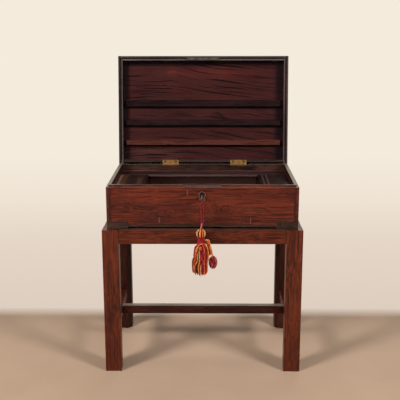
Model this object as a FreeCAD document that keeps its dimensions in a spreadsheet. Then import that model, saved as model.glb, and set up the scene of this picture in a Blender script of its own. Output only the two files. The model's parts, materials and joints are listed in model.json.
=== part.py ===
"""Campaign desk: a hinged writing box standing on a low square-legged stand.

Frame: +X to the right of someone facing the front, +Y to the back, +Z up, millimetres.
The origin is on the floor under the middle of the stand. The lid is stored open.
"""
import FreeCAD, Part
import math
import os
import re
import Sketcher

# ---------------------------------------------------------------- driving dimensions
SIZES = dict(
    # stand
    stand_ledge=13, stand_height=413, leg_size=45, leg_chamfer=12,
    apron_height=39, apron_thickness=22, apron_setback=1,
    tenon_length=18, tenon_thickness=8, tenon_shoulder=5, joint_gap=0.1,
    stretcher_height=25, stretcher_thickness=20, stretcher_level=107,
    corner_block_reach=25, corner_block_height=30,
    # box
    box_width=520, box_depth=330, wall_thickness=13, wall_height=103.5, bottom_thickness=7,
    foot_drop=6, foot_length=58, foot_rise=16, foot_inset=6,
    batten_drop=12, batten_width=16, batten_clearance=2, batten_inset=1,
    lip_width=6.5, lip_height=5.5, lip_break=102,
    shelf_depth=60, shelf_thickness=6, shelf_drop=18, shelf_housing=4,
    well_width=330, partition_thickness=6,
    cover_thickness=5, cover_gap=0.4, cleat_width=6, cleat_height=8,
    finger_hole_radius=9, finger_hole_inset=32,
    # lid
    lid_open=98, lid_gap=0.3, lid_wall_height=32, panel_thickness=8, rebate_gap=0.5,
    ledge_end_gap=9, ledge_thickness=15,
    ledge_high_start=177.6, ledge_high_width=19.5,
    ledge_middle_start=119.2, ledge_middle_width=18,
    ledge_low_start=58.6, ledge_low_width=16,
    # hinges and screws
    hinge_length=50, hinge_spacing=209, hinge_shift=4, leaf_thickness=1.6, knuckle_radius=3.2,
    knuckle_gap=0.15, hinge_clearance=0.3, pin_proud=0, pin_radius=1.5, pin_gap=0.05,
    screw_spacing=32, screw_head_radius=3.2, screw_head_depth=1, screw_radius=1.4, screw_length=10,
    # lock, links and key
    lock_offset=-1, lock_width=78, lock_height=42, lock_depth=8, lock_sheet=1.2,
    plate_length=98, plate_setback=5, selvage_thickness=2, selvage_screw_inset=4,
    link_plate_thickness=1.5, link_spacing=40, link_width=4, link_nose=4, link_length=16,
    link_thickness=2, link_gap=0.6, link_side_gap=0.4,
    bolt_height=10, bolt_rise=4, bolt_thickness=2, bolt_travel=8, bolt_gap=0.3,
    finger_width=4, finger_height=3.5, finger_gap=0.5, guide_radius=1.5, guide_gap=0.05,
    guide_offset=7.5, guide_spacing=15, guide_drop=10,
    key_drop=21, key_radius=2.6, key_bit_length=7.5, key_bit_thickness=3, key_bit_depth=4,
    key_gap=0.05, keyhole_radius=3.2, keyhole_width=3.8, keyhole_length=8.2,
    escutcheon_thickness=1, escutcheon_radius=9.4, escutcheon_skirt=13.2, escutcheon_length=20.2,
    bow_reach=41, bow_radius=7, bow_bar_radius=1.7,
    collar_radius=4.2, collar_length=2.2, collar_inset=3,
    # key cord and tassel
    cord_diameter=4, cord_gap=0.9, cord_bend=8, cord_splay=2.2, cord_tuck=3,
    cord_lean=2.3, cord_waist_drop=46.5, cord_waist_left=3.6, cord_waist_right=0.6,
    tassel_offset=3.7, tassel_drop=83.6, tassel_head_radius=12.7, tassel_head_height=24,
    tassel_neck_radius=9.7, tassel_neck_height=14, tassel_bind=2,
    skirt_height=87, skirt_flare=34, skirt_radius=20.6,
    pendant_diameter=4.5, pendant_tuck=1.5, pendant_rise=6, pendant_reach=14, pendant_fall=18.4,
    pendant_lean=8.1, pompom_radius=12.3, pompom_height=36, pompom_offset=33.3, pompom_drop=37,
)

document = FreeCAD.newDocument("campaign_desk")
sheet = document.addObject("Spreadsheet::Sheet", "Sizes")
for row, (alias, size) in enumerate(SIZES.items(), start=1):
    sheet.set(f"A{row}", alias)
    sheet.set(f"B{row}", str(size))
    sheet.setAlias(f"B{row}", alias)
document.recompute()

ALIAS_WORD = re.compile(r"\b(" + "|".join(sorted(SIZES, key=len, reverse=True)) + r")\b")
sub_parts = []


def linked(text):
    """Expression text with every size name pointing at its spreadsheet cell."""
    return ALIAS_WORD.sub(lambda found: "Sizes." + found.group(0), str(text))


def number(text):
    """Present value of an expression in sizes."""
    return float(sheet.evalExpression(linked(text)))


def keep(item, label):
    """Name an object and list it as a sub-part."""
    item.Label = label
    sub_parts.append(item)
    return item


# ---------------------------------------------------------------- sketch and feature helpers
PLANE_ROLES = {"XY": "XY_Plane", "XZ": "XZ_Plane", "YZ": "YZ_Plane"}


def rectangle(first_low, first_high, second_low, second_high):
    return [(first_low, second_low), (first_high, second_low),
            (first_high, second_high), (first_low, second_high)]


def draw_outline(sketch, corners):
    """Closed outline whose corners are each dimensioned from the sketch origin."""
    points = [FreeCAD.Vector(number(x), number(y), 0) for x, y in corners]
    first = sketch.GeometryCount
    count = len(points)
    for index, point in enumerate(points):
        sketch.addGeometry(Part.LineSegment(point, points[(index + 1) % count]))
    for index, (x, y) in enumerate(corners):
        line = first + index
        following = first + (index + 1) % count
        sketch.addConstraint(Sketcher.Constraint("Coincident", line, 2, following, 1))
        for kind, text, value in (("DistanceX", x, points[index].x), ("DistanceY", y, points[index].y)):
            place = sketch.addConstraint(Sketcher.Constraint(kind, -1, 1, line, 1, value))
            sketch.setExpression(f"Constraints[{place}]", linked(text))


def draw_circle(sketch, centre_x, centre_y, radius):
    """Circle dimensioned from the sketch origin."""
    centre = FreeCAD.Vector(number(centre_x), number(centre_y), 0)
    circle = sketch.addGeometry(Part.Circle(centre, FreeCAD.Vector(0, 0, 1), number(radius)))
    rules = (("DistanceX", centre_x, centre.x), ("DistanceY", centre_y, centre.y))
    for kind, text, value in rules:
        place = sketch.addConstraint(Sketcher.Constraint(kind, -1, 1, circle, 3, value))
        sketch.setExpression(f"Constraints[{place}]", linked(text))
    place = sketch.addConstraint(Sketcher.Constraint("Radius", circle, number(radius)))
    sketch.setExpression(f"Constraints[{place}]", linked(radius))


def new_sketch(body, plane, level, profiles):
    """Sketch on one of the body's origin planes, moved to a level along the plane's own axis."""
    sketch = body.newObject("Sketcher::SketchObject", "Sketch")
    support = [item for item in body.Origin.OriginFeatures if item.Role == PLANE_ROLES[plane]][0]
    sketch.AttachmentSupport = [(support, "")]
    sketch.MapMode = "FlatFace"
    sign = "-1 * " if plane == "XZ" else ""
    sketch.setExpression("AttachmentOffset.Base.z", linked(f"{sign}({level})"))
    for profile in profiles:
        if isinstance(profile, tuple):
            draw_circle(sketch, *profile)
        else:
            draw_outline(sketch, profile)
    return sketch


def add_prism(body, plane, profiles, low, high):
    """Pad profiles between two levels along the plane's axis."""
    level = high if plane == "XZ" else low
    pad = body.newObject("PartDesign::Pad", "Pad")
    pad.Profile = new_sketch(body, plane, level, profiles)
    pad.setExpression("Length", linked(f"({high}) - ({low})"))
    body.Tip = pad
    document.recompute()


def cut_prism(body, plane, profiles, low, high):
    """Pocket profiles between two levels along the plane's axis; it has to remove something."""
    before = body.Shape.Volume
    level = low if plane == "XZ" else high
    pocket = body.newObject("PartDesign::Pocket", "Pocket")
    pocket.Profile = new_sketch(body, plane, level, profiles)
    pocket.setExpression("Length", linked(f"({high}) - ({low})"))
    body.Tip = pocket
    document.recompute()
    if not body.Shape.Volume < before:
        raise RuntimeError("a pocket cut nothing in " + body.Label)


def new_body(label):
    return keep(document.addObject("PartDesign::Body", "Body"), label)


def block(label, x_low, x_high, y_low, y_high, z_low, z_high):
    """Rectangular piece of wood or metal as a body."""
    body = new_body(label)
    add_prism(body, "XY", [rectangle(x_low, x_high, y_low, y_high)], z_low, z_high)
    return body


def cut_block(body, x_low, x_high, y_low, y_high, z_low, z_high):
    """Rectangular pocket, cut from above."""
    cut_prism(body, "XY", [rectangle(x_low, x_high, y_low, y_high)], z_low, z_high)


def span(side, near, far):
    """Low and high ends of a span that lies on one side (-1 or 1) of the middle."""
    return (f"-1 * ({far})", f"-1 * ({near})") if side < 0 else (near, far)


def group(label, pieces):
    """Several separate solids kept as one sub-part."""
    compound = document.addObject("Part::Compound", "Group")
    compound.Links = pieces
    return keep(compound, label)


def place_at(item, x, y, z):
    """Bind an object's position to expressions in sizes."""
    for letter, text in zip("xyz", (x, y, z)):
        item.setExpression("Placement.Base." + letter, linked(text))


def cylinder(radius, height, place, axis=(0, 0, 1)):
    """Part cylinder whose base centre and axis are given."""
    item = document.addObject("Part::Cylinder", "Cylinder")
    turn = FreeCAD.Rotation(FreeCAD.Vector(0, 0, 1), FreeCAD.Vector(*axis))
    item.Placement = FreeCAD.Placement(FreeCAD.Vector(), turn)
    item.setExpression("Radius", linked(radius))
    item.setExpression("Height", linked(height))
    place_at(item, *place)
    return item


def ellipsoid(half_height, radius, place):
    """Upright ellipsoid about its centre."""
    item = document.addObject("Part::Ellipsoid", "Ellipsoid")
    item.setExpression("Radius1", linked(half_height))
    item.setExpression("Radius2", linked(radius))
    item.setExpression("Radius3", linked(radius))
    place_at(item, *place)
    return item


def fused(pieces):
    joined = document.addObject("Part::MultiFuse", "Fusion")
    joined.Shapes = pieces
    return joined


# ---------------------------------------------------------------- shared places
HALF_STAND = "(box_width / 2 + stand_ledge)"
HALF_STAND_DEPTH = "(box_depth / 2 + stand_ledge)"
LEG_INNER_X = f"({HALF_STAND} - leg_size)"
LEG_INNER_Y = f"({HALF_STAND_DEPTH} - leg_size)"
LEG_MIDDLE_X = f"({HALF_STAND} - leg_size / 2)"
APRON_BOTTOM = "(stand_height - apron_height)"
STRETCHER_TOP = "(stretcher_level + stretcher_height)"

HALF_BOX = "box_width / 2"
HALF_BOX_DEPTH = "box_depth / 2"
INNER_X = "(box_width / 2 - wall_thickness)"
INNER_Y = "(box_depth / 2 - wall_thickness)"
BOX_BASE = "(stand_height + foot_drop)"
FLOOR = "(stand_height + foot_drop + bottom_thickness)"
RIM = "(stand_height + foot_drop + bottom_thickness + wall_height)"
SHELF_TOP = f"({RIM} - shelf_drop)"
SHELF_BOTTOM = f"({RIM} - shelf_drop - shelf_thickness)"
SHELF_FRONT = "(box_depth / 2 - wall_thickness - shelf_depth)"

PIN_Y = "(box_depth / 2 + pin_proud)"
PIN_Z = f"({RIM} + lid_gap / 2)"
LID_RIM = f"({RIM} + lid_gap)"
LID_WALL_TOP = f"({RIM} + lid_gap + lid_wall_height)"

KEY_Z = f"({RIM} - key_drop)"
FRONT_FACE = "(-1 * box_depth / 2)"
LOCK_FRONT = "(-1 * box_depth / 2 + wall_thickness - lock_depth)"
LOCK_BACK = "(-1 * box_depth / 2 + wall_thickness)"
LOCK_TOP = f"({RIM} - selvage_thickness)"
BOW_Y = "(-1 * box_depth / 2 - bow_reach)"
BAR_Z = f"({KEY_Z} - bow_radius)"
TASSEL_X = "(lock_offset - tassel_offset)"
HEAD_TOP = f"({KEY_Z} - tassel_drop)"
HEAD_BOTTOM = f"({HEAD_TOP} - tassel_head_height)"
NECK_BOTTOM = f"({HEAD_BOTTOM} - tassel_neck_height)"

CORNERS = (("front_left", -1, -1), ("front_right", 1, -1), ("rear_left", -1, 1), ("rear_right", 1, 1))
SIDES = (("left", -1), ("right", 1))


def open_lid(item):
    """Swing a piece that is drawn in the closed lid open about the hinge pins."""
    item.Placement = FreeCAD.Placement(FreeCAD.Vector(), FreeCAD.Rotation(FreeCAD.Vector(-1, 0, 0), 90))
    item.setExpression("Placement.Rotation.Angle", linked("lid_open"))
    item.setExpression("Placement.Base.y", linked(
        f"{PIN_Y} - ({PIN_Y} * cos(lid_open) + {PIN_Z} * sin(lid_open))"))
    item.setExpression("Placement.Base.z", linked(
        f"{PIN_Z} - ({PIN_Z} * cos(lid_open) - {PIN_Y} * sin(lid_open))"))


# ---------------------------------------------------------------- stand
def make_leg(name, x_side, y_side):
    """Square leg with its inward corner chamfered and mortises for aprons and stretcher."""
    inner_x, outer_x = LEG_INNER_X, HALF_STAND
    inner_y, outer_y = LEG_INNER_Y, HALF_STAND_DEPTH
    section = [(outer_x, outer_y), (inner_x, outer_y), (inner_x, f"{inner_y} + leg_chamfer"),
               (f"{inner_x} + leg_chamfer", inner_y), (outer_x, inner_y)]
    placed = [(f"{x_side} * ({x})", f"{y_side} * ({y})") for x, y in section]
    leg = new_body("leg_" + name)
    add_prism(leg, "XY", [placed], "0", "stand_height")
    tenon_half = "(tenon_thickness / 2 + joint_gap)"
    apron_middle = "(apron_setback + apron_thickness / 2)"
    mortise_z = (f"{APRON_BOTTOM} + tenon_shoulder - joint_gap", "stand_height - tenon_shoulder + joint_gap")
    depth = "(tenon_length + joint_gap)"
    x_span = span(x_side, inner_x, f"{inner_x} + {depth}")
    y_span = span(y_side, f"{outer_y} - {apron_middle} - {tenon_half}",
                  f"{outer_y} - {apron_middle} + {tenon_half}")
    cut_prism(leg, "YZ", [rectangle(*y_span, *mortise_z)], *x_span)
    x_span = span(x_side, f"{outer_x} - {apron_middle} - {tenon_half}",
                  f"{outer_x} - {apron_middle} + {tenon_half}")
    y_span = span(y_side, inner_y, f"{inner_y} + {depth}")
    cut_prism(leg, "XZ", [rectangle(*x_span, *mortise_z)], *y_span)
    x_span = span(x_side, f"{LEG_MIDDLE_X} - {tenon_half}", f"{LEG_MIDDLE_X} + {tenon_half}")
    stretcher_z = ("stretcher_level + tenon_shoulder - joint_gap",
                   f"{STRETCHER_TOP} - tenon_shoulder + joint_gap")
    cut_prism(leg, "XZ", [rectangle(*x_span, *stretcher_z)], *y_span)


def make_aprons():
    """Four rails under the stand's top, tenoned into the legs."""
    tenon_z = (f"{APRON_BOTTOM} + tenon_shoulder", "stand_height - tenon_shoulder")
    near, far = "apron_setback + apron_thickness", "apron_setback"
    middle = "(apron_setback + apron_thickness / 2)"
    for name, side in (("front", -1), ("rear", 1)):
        y_span = span(side, f"{HALF_STAND_DEPTH} - ({near})", f"{HALF_STAND_DEPTH} - {far}")
        apron = block("apron_" + name, f"-1 * {LEG_INNER_X}", LEG_INNER_X, *y_span,
                      APRON_BOTTOM, "stand_height")
        tenon = span(side, f"{HALF_STAND_DEPTH} - {middle} - tenon_thickness / 2",
                     f"{HALF_STAND_DEPTH} - {middle} + tenon_thickness / 2")
        add_prism(apron, "YZ", [rectangle(*tenon, *tenon_z)],
                  f"-1 * ({LEG_INNER_X} + tenon_length)", f"{LEG_INNER_X} + tenon_length")
    for name, side in SIDES:
        x_span = span(side, f"{HALF_STAND} - ({near})", f"{HALF_STAND} - {far}")
        apron = block("apron_" + name, *x_span, f"-1 * {LEG_INNER_Y}", LEG_INNER_Y,
                      APRON_BOTTOM, "stand_height")
        tenon = span(side, f"{HALF_STAND} - {middle} - tenon_thickness / 2",
                     f"{HALF_STAND} - {middle} + tenon_thickness / 2")
        add_prism(apron, "XZ", [rectangle(*tenon, *tenon_z)],
                  f"-1 * ({LEG_INNER_Y} + tenon_length)", f"{LEG_INNER_Y} + tenon_length")


def make_stretchers():
    """H of two side stretchers and one cross stretcher, low between the legs."""
    tenon_z = ("stretcher_level + tenon_shoulder", f"{STRETCHER_TOP} - tenon_shoulder")
    inner = f"({LEG_MIDDLE_X} - stretcher_thickness / 2)"
    for name, side in SIDES:
        x_span = span(side, inner, f"{LEG_MIDDLE_X} + stretcher_thickness / 2")
        rail = block("side_stretcher_" + name, *x_span, f"-1 * {LEG_INNER_Y}", LEG_INNER_Y,
                     "stretcher_level", STRETCHER_TOP)
        tenon = span(side, f"{LEG_MIDDLE_X} - tenon_thickness / 2", f"{LEG_MIDDLE_X} + tenon_thickness / 2")
        add_prism(rail, "XZ", [rectangle(*tenon, *tenon_z)],
                  f"-1 * ({LEG_INNER_Y} + tenon_length)", f"{LEG_INNER_Y} + tenon_length")
        mortise_z = ("stretcher_level + tenon_shoulder - joint_gap",
                     f"{STRETCHER_TOP} - tenon_shoulder + joint_gap")
        half = "(tenon_thickness / 2 + joint_gap)"
        depth = span(side, inner, f"{inner} + stretcher_thickness / 2 + joint_gap")
        cut_prism(rail, "YZ", [rectangle(f"-1 * {half}", half, *mortise_z)], *depth)
    cross = block("cross_stretcher", f"-1 * {inner}", inner, "-1 * stretcher_thickness / 2",
                  "stretcher_thickness / 2", "stretcher_level", STRETCHER_TOP)
    add_prism(cross, "YZ", [rectangle("-1 * tenon_thickness / 2", "tenon_thickness / 2", *tenon_z)],
              f"-1 * ({inner} + stretcher_thickness / 2)", f"{inner} + stretcher_thickness / 2")


def make_corner_blocks():
    """Triangular blocks glued behind the aprons inside each corner of the stand's frame."""
    blocks = []
    corner_x = f"({HALF_STAND} - apron_setback - apron_thickness)"
    corner_y = f"({HALF_STAND_DEPTH} - apron_setback - apron_thickness)"
    reach_x = f"({LEG_INNER_X} - corner_block_reach)"
    reach_y = f"({LEG_INNER_Y} - corner_block_reach)"
    for name, x_side, y_side in CORNERS:
        section = [(LEG_INNER_X, corner_y), (reach_x, corner_y), (corner_x, reach_y),
                   (corner_x, LEG_INNER_Y), (f"{LEG_INNER_X} + leg_chamfer", LEG_INNER_Y),
                   (LEG_INNER_X, f"{LEG_INNER_Y} + leg_chamfer")]
        placed = [(f"{x_side} * ({x})", f"{y_side} * ({y})") for x, y in section]
        body = document.addObject("PartDesign::Body", "Block")
        add_prism(body, "XY", [placed], "stand_height - corner_block_height", "stand_height")
        blocks.append(body)
    group("corner_blocks", blocks)


# ---------------------------------------------------------------- box
def foot_section(x_side, y_side):
    """L-shaped outline of the let-in part of a corner foot."""
    outer_x, outer_y = HALF_BOX, HALF_BOX_DEPTH
    section = [(outer_x, outer_y), (f"{outer_x} - foot_length", outer_y),
               (f"{outer_x} - foot_length", f"{outer_y} - foot_inset"),
               (f"{outer_x} - foot_inset", f"{outer_y} - foot_inset"),
               (f"{outer_x} - foot_inset", f"{outer_y} - foot_length"),
               (outer_x, f"{outer_y} - foot_length")]
    return [(f"{x_side} * ({x})", f"{y_side} * ({y})") for x, y in section]


def cut_foot_seat(body, x_side, y_side, z_low, z_high):
    """Rebate that takes the let-in part of a corner foot."""
    cut_prism(body, "XY", [foot_section(x_side, y_side)], z_low, z_high)


def make_feet():
    """Feet let in flush at the box's lower corners; they lift it off the stand."""
    for name, x_side, y_side in CORNERS:
        foot = new_body("foot_" + name)
        add_prism(foot, "XY", [foot_section(x_side, y_side)], "stand_height", f"{BOX_BASE} + foot_rise")
        pad_section = rectangle(*span(x_side, f"{HALF_BOX} - foot_length", HALF_BOX),
                                *span(y_side, f"{HALF_BOX_DEPTH} - foot_length", HALF_BOX_DEPTH))
        add_prism(foot, "XY", [pad_section], "stand_height", BOX_BASE)


def make_bottom():
    """Board planted under the walls, seated over the corner feet."""
    bottom = block("box_bottom", f"-1 * {HALF_BOX}", HALF_BOX, f"-1 * {HALF_BOX_DEPTH}", HALF_BOX_DEPTH,
                   BOX_BASE, FLOOR)
    for name, x_side, y_side in CORNERS:
        cut_foot_seat(bottom, x_side, y_side, BOX_BASE, FLOOR)


def make_battens():
    """Two battens under the bottom that drop inside the front and rear aprons and keep the box in place."""
    outer = f"({HALF_STAND_DEPTH} - apron_setback - apron_thickness - batten_clearance)"
    half_length = f"({HALF_BOX} - foot_length - batten_inset)"
    battens = []
    for side in (-1, 1):
        body = document.addObject("PartDesign::Body", "Batten")
        y_span = span(side, f"{outer} - batten_width", outer)
        add_prism(body, "XY", [rectangle(f"-1 * {half_length}", half_length, *y_span)],
                  f"{BOX_BASE} - batten_drop", BOX_BASE)
        battens.append(body)
    group("bottom_battens", battens)


def make_side_wall(name, side):
    """Side of the box, full depth, with the raised inner lip and the shelf's housing."""
    wall = block("box_" + name, *span(side, INNER_X, HALF_BOX), f"-1 * {HALF_BOX_DEPTH}", HALF_BOX_DEPTH,
                 FLOOR, RIM)
    lip_x = span(side, INNER_X, f"{INNER_X} + lip_width")
    add_prism(wall, "XY", [rectangle(*lip_x, f"{FRONT_FACE} + wall_thickness - lip_width",
                                     f"{INNER_Y} - rebate_gap")],
              f"{RIM} - lip_height", f"{RIM} + lip_height")
    cut_prism(wall, "YZ", [rectangle(SHELF_FRONT, INNER_Y, SHELF_BOTTOM, SHELF_TOP)],
              *span(side, INNER_X, f"{INNER_X} + shelf_housing"))
    for y_side in (-1, 1):
        cut_foot_seat(wall, side, y_side, FLOOR, f"{BOX_BASE} + foot_rise")


def make_front_wall():
    """Front of the box, between the sides, with a broken lip, lock mortise and keyhole."""
    front = block("box_front", f"-1 * {INNER_X}", INNER_X, FRONT_FACE, f"{FRONT_FACE} + wall_thickness",
                  FLOOR, RIM)
    lip_y = (f"{FRONT_FACE} + wall_thickness - lip_width", f"{FRONT_FACE} + wall_thickness")
    add_prism(front, "XY", [rectangle(f"-1 * {INNER_X}", INNER_X, *lip_y)],
              f"{RIM} - lip_height", f"{RIM} + lip_height")
    cut_block(front, "lock_offset - lip_break / 2", "lock_offset + lip_break / 2", *lip_y,
              RIM, f"{RIM} + lip_height")
    cut_block(front, "lock_offset - plate_length / 2", "lock_offset + plate_length / 2",
              f"{FRONT_FACE} + plate_setback", LOCK_BACK, LOCK_TOP, RIM)
    cut_block(front, "lock_offset - lock_width / 2", "lock_offset + lock_width / 2",
              LOCK_FRONT, LOCK_BACK, f"{LOCK_TOP} - lock_height", LOCK_TOP)
    cut_keyhole(front, FRONT_FACE, LOCK_FRONT)
    for x in plate_screw_places():
        cut_prism(front, "XY", [(x, PLATE_SCREW_Y, "screw_radius")], f"{RIM} - screw_length", LOCK_TOP)
    for x_side in (-1, 1):
        cut_foot_seat(front, x_side, -1, FLOOR, f"{BOX_BASE} + foot_rise")


def make_back_wall():
    """Back of the box, between the sides, with seats for the hinge leaves."""
    back = block("box_back", f"-1 * {INNER_X}", INNER_X, INNER_Y, HALF_BOX_DEPTH, FLOOR, RIM)
    for name, side in SIDES:
        low, high = hinge_span(side)
        cut_block(back, low, high, INNER_Y, HALF_BOX_DEPTH, f"{RIM} - leaf_thickness", RIM)
        cut_block(back, low, high, LEAF_END, HALF_BOX_DEPTH, f"{PIN_Z} - {KNUCKLE_ROOM}",
                  f"{RIM} - leaf_thickness")
        for hole_x in screw_places(side):
            cut_prism(back, "XY", [(hole_x, SCREW_Y, "screw_radius")], f"{RIM} - screw_length",
                      f"{RIM} - leaf_thickness")
    for x_side in (-1, 1):
        cut_foot_seat(back, x_side, 1, FLOOR, f"{BOX_BASE} + foot_rise")


def cut_keyhole(body, y_low, y_high):
    """Round hole with a slot below it, the shape of the key."""
    cut_prism(body, "XZ", [("lock_offset", KEY_Z, "keyhole_radius")], y_low, y_high)
    slot = rectangle("lock_offset - keyhole_width / 2", "lock_offset + keyhole_width / 2",
                     f"{KEY_Z} - keyhole_length", KEY_Z)
    cut_prism(body, "XZ", [slot], y_low, y_high)


def make_fittings():
    """Full-width shelf along the back, two partitions, cleats and two lift-out covers."""
    block("rear_shelf", f"-1 * ({INNER_X} + shelf_housing)", f"{INNER_X} + shelf_housing",
          SHELF_FRONT, INNER_Y, SHELF_BOTTOM, SHELF_TOP)
    cover_bottom = f"({SHELF_TOP} - cover_thickness)"
    cleat_z = (f"{cover_bottom} - cleat_height", cover_bottom)
    partition_outer = "(well_width / 2 + partition_thickness)"
    cleats = []
    for name, side in SIDES:
        partition = new_body("partition_" + name)
        profile = [(f"-1 * {INNER_Y}", FLOOR), (INNER_Y, FLOOR), (INNER_Y, SHELF_BOTTOM),
                   (SHELF_FRONT, SHELF_BOTTOM), (SHELF_FRONT, SHELF_TOP), (f"-1 * {INNER_Y}", SHELF_TOP)]
        add_prism(partition, "YZ", [profile], *span(side, "well_width / 2", partition_outer))
        cover = block("cover_" + name,
                      *span(side, f"{partition_outer} + cover_gap", f"{INNER_X} - cover_gap"),
                      f"-1 * {INNER_Y} + cover_gap", f"{SHELF_FRONT} - cover_gap", cover_bottom, SHELF_TOP)
        hole_x = f"{side} * ({partition_outer} + {INNER_X}) / 2"
        cut_prism(cover, "XY", [(hole_x, f"-1 * {INNER_Y} + finger_hole_inset", "finger_hole_radius")],
                  cover_bottom, SHELF_TOP)
        for near, far in ((partition_outer, f"{partition_outer} + cleat_width"),
                          (f"{INNER_X} - cleat_width", INNER_X)):
            body = document.addObject("PartDesign::Body", "Cleat")
            add_prism(body, "XY", [rectangle(*span(side, near, far), f"-1 * {INNER_Y}", SHELF_FRONT)], *cleat_z)
            cleats.append(body)
    group("cover_cleats", cleats)


# ---------------------------------------------------------------- hinges and screws
KNUCKLE_ROOM = "(knuckle_radius + hinge_clearance)"
LEAF_END = f"({PIN_Y} - {KNUCKLE_ROOM})"
SCREW_Y = f"({INNER_Y} + {LEAF_END}) / 2"
LID_SEAT_TOP = f"({LID_RIM} + leaf_thickness)"


def hinge_span(side):
    centre = f"hinge_shift + {side} * hinge_spacing / 2"
    return (f"{centre} - hinge_length / 2", f"{centre} + hinge_length / 2")


def screw_places(side):
    return [f"hinge_shift + {side} * hinge_spacing / 2 + {step} * screw_spacing / 2" for step in (-1, 1)]


def make_leaf(label, side, z_low, z_high, knuckles):
    """Hinge leaf with its share of five knuckles; the holes take sunk screw heads."""
    low, high = hinge_span(side)
    leaf = block(label, low, high, INNER_Y, LEAF_END, z_low, z_high)
    segment = "hinge_length / 5"
    for place in knuckles:
        x_low = f"{low} + {place} * {segment} + knuckle_gap"
        x_high = f"{low} + {place + 1} * {segment} - knuckle_gap"
        web = rectangle(f"{LEAF_END} - leaf_thickness", PIN_Y, z_low, z_high)
        add_prism(leaf, "YZ", [web], x_low, x_high)
        add_prism(leaf, "YZ", [(PIN_Y, PIN_Z, "knuckle_radius")], x_low, x_high)
    cut_prism(leaf, "YZ", [(PIN_Y, PIN_Z, "pin_radius + pin_gap")], low, high)
    return leaf


def make_hinges():
    """Two butt hinges: box leaves, lid leaves and their pins."""
    for name, side in SIDES:
        box_leaf = make_leaf("hinge_box_leaf_" + name, side, f"{RIM} - leaf_thickness", RIM, (0, 2, 4))
        lid_leaf = make_leaf("hinge_lid_leaf_" + name, side, LID_RIM, LID_SEAT_TOP, (1, 3))
        for hole_x in screw_places(side):
            cut_prism(box_leaf, "XY", [(hole_x, SCREW_Y, "screw_head_radius")],
                      f"{RIM} - screw_head_depth", RIM)
            cut_prism(box_leaf, "XY", [(hole_x, SCREW_Y, "screw_radius")], f"{RIM} - leaf_thickness",
                      f"{RIM} - screw_head_depth")
            cut_prism(lid_leaf, "XY", [(hole_x, SCREW_Y, "screw_head_radius")], LID_RIM,
                      f"{LID_RIM} + screw_head_depth")
            cut_prism(lid_leaf, "XY", [(hole_x, SCREW_Y, "screw_radius")], f"{LID_RIM} + screw_head_depth",
                      LID_SEAT_TOP)
        open_lid(lid_leaf)
        low, high = hinge_span(side)
        keep(cylinder("pin_radius", "hinge_length", (low, PIN_Y, PIN_Z), axis=(1, 0, 0)), "hinge_pin_" + name)


def make_screw(x, y, head_z, length, upward=False):
    """Wood screw with a sunk flat head; it points down, or up into the lid's walls."""
    if upward:
        head = cylinder("screw_head_radius", "screw_head_depth", (x, y, head_z))
        shank = cylinder("screw_radius", length, (x, y, head_z))
    else:
        head = cylinder("screw_head_radius", "screw_head_depth", (x, y, f"{head_z} - screw_head_depth"))
        shank = cylinder("screw_radius", length, (x, y, f"{head_z} - ({length})"))
    return fused([head, shank])


def plate_screw_places():
    return [f"lock_offset + {step} * (plate_length / 2 - selvage_screw_inset)" for step in (-1, 1)]


PLATE_SCREW_Y = f"({FRONT_FACE} + plate_setback + {LOCK_BACK}) / 2"


def make_screws():
    """Screws of the hinge leaves, the selvage plate and the link plate."""
    box_screws = []
    lid_screws = []
    for name, side in SIDES:
        for x in screw_places(side):
            box_screws.append(make_screw(x, SCREW_Y, RIM, "screw_length"))
            lid_screws.append(make_screw(x, SCREW_Y, LID_RIM, "screw_length", upward=True))
    for x in plate_screw_places():
        box_screws.append(make_screw(x, PLATE_SCREW_Y, RIM, "screw_length"))
        lid_screws.append(make_screw(x, PLATE_SCREW_Y, LID_RIM, "screw_length", upward=True))
    group("box_screws", box_screws)
    open_lid(group("lid_screws", lid_screws))


# ---------------------------------------------------------------- lid
def make_lid_front():
    """Front of the lid; the inner half of its rim is rebated over the box's lip."""
    front = block("lid_front", f"-1 * {INNER_X}", INNER_X, FRONT_FACE, f"{FRONT_FACE} + wall_thickness",
                  LID_RIM, LID_WALL_TOP)
    rebate_y = (f"{FRONT_FACE} + wall_thickness - lip_width - rebate_gap", f"{FRONT_FACE} + wall_thickness")
    rebate_z = (LID_RIM, f"{LID_RIM} + lip_height + rebate_gap")
    break_half = "(lip_break / 2 - rebate_gap)"
    cut_block(front, f"-1 * {INNER_X}", f"lock_offset - {break_half}", *rebate_y, *rebate_z)
    cut_block(front, f"lock_offset + {break_half}", INNER_X, *rebate_y, *rebate_z)
    cut_block(front, "lock_offset - plate_length / 2", "lock_offset + plate_length / 2",
              f"{FRONT_FACE} + plate_setback", LOCK_BACK, LID_RIM, f"{LID_RIM} + link_plate_thickness")
    for x in plate_screw_places():
        cut_prism(front, "XY", [(x, PLATE_SCREW_Y, "screw_radius")],
                  f"{LID_RIM} + link_plate_thickness", f"{LID_RIM} + screw_length")
    open_lid(front)


def make_lid_side(name, side):
    wall = block("lid_" + name, *span(side, INNER_X, HALF_BOX), f"-1 * {HALF_BOX_DEPTH}", HALF_BOX_DEPTH,
                 LID_RIM, LID_WALL_TOP)
    cut_block(wall, *span(side, INNER_X, f"{INNER_X} + lip_width + rebate_gap"),
              f"{FRONT_FACE} + wall_thickness - lip_width - rebate_gap", INNER_Y,
              LID_RIM, f"{LID_RIM} + lip_height + rebate_gap")
    open_lid(wall)


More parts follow.
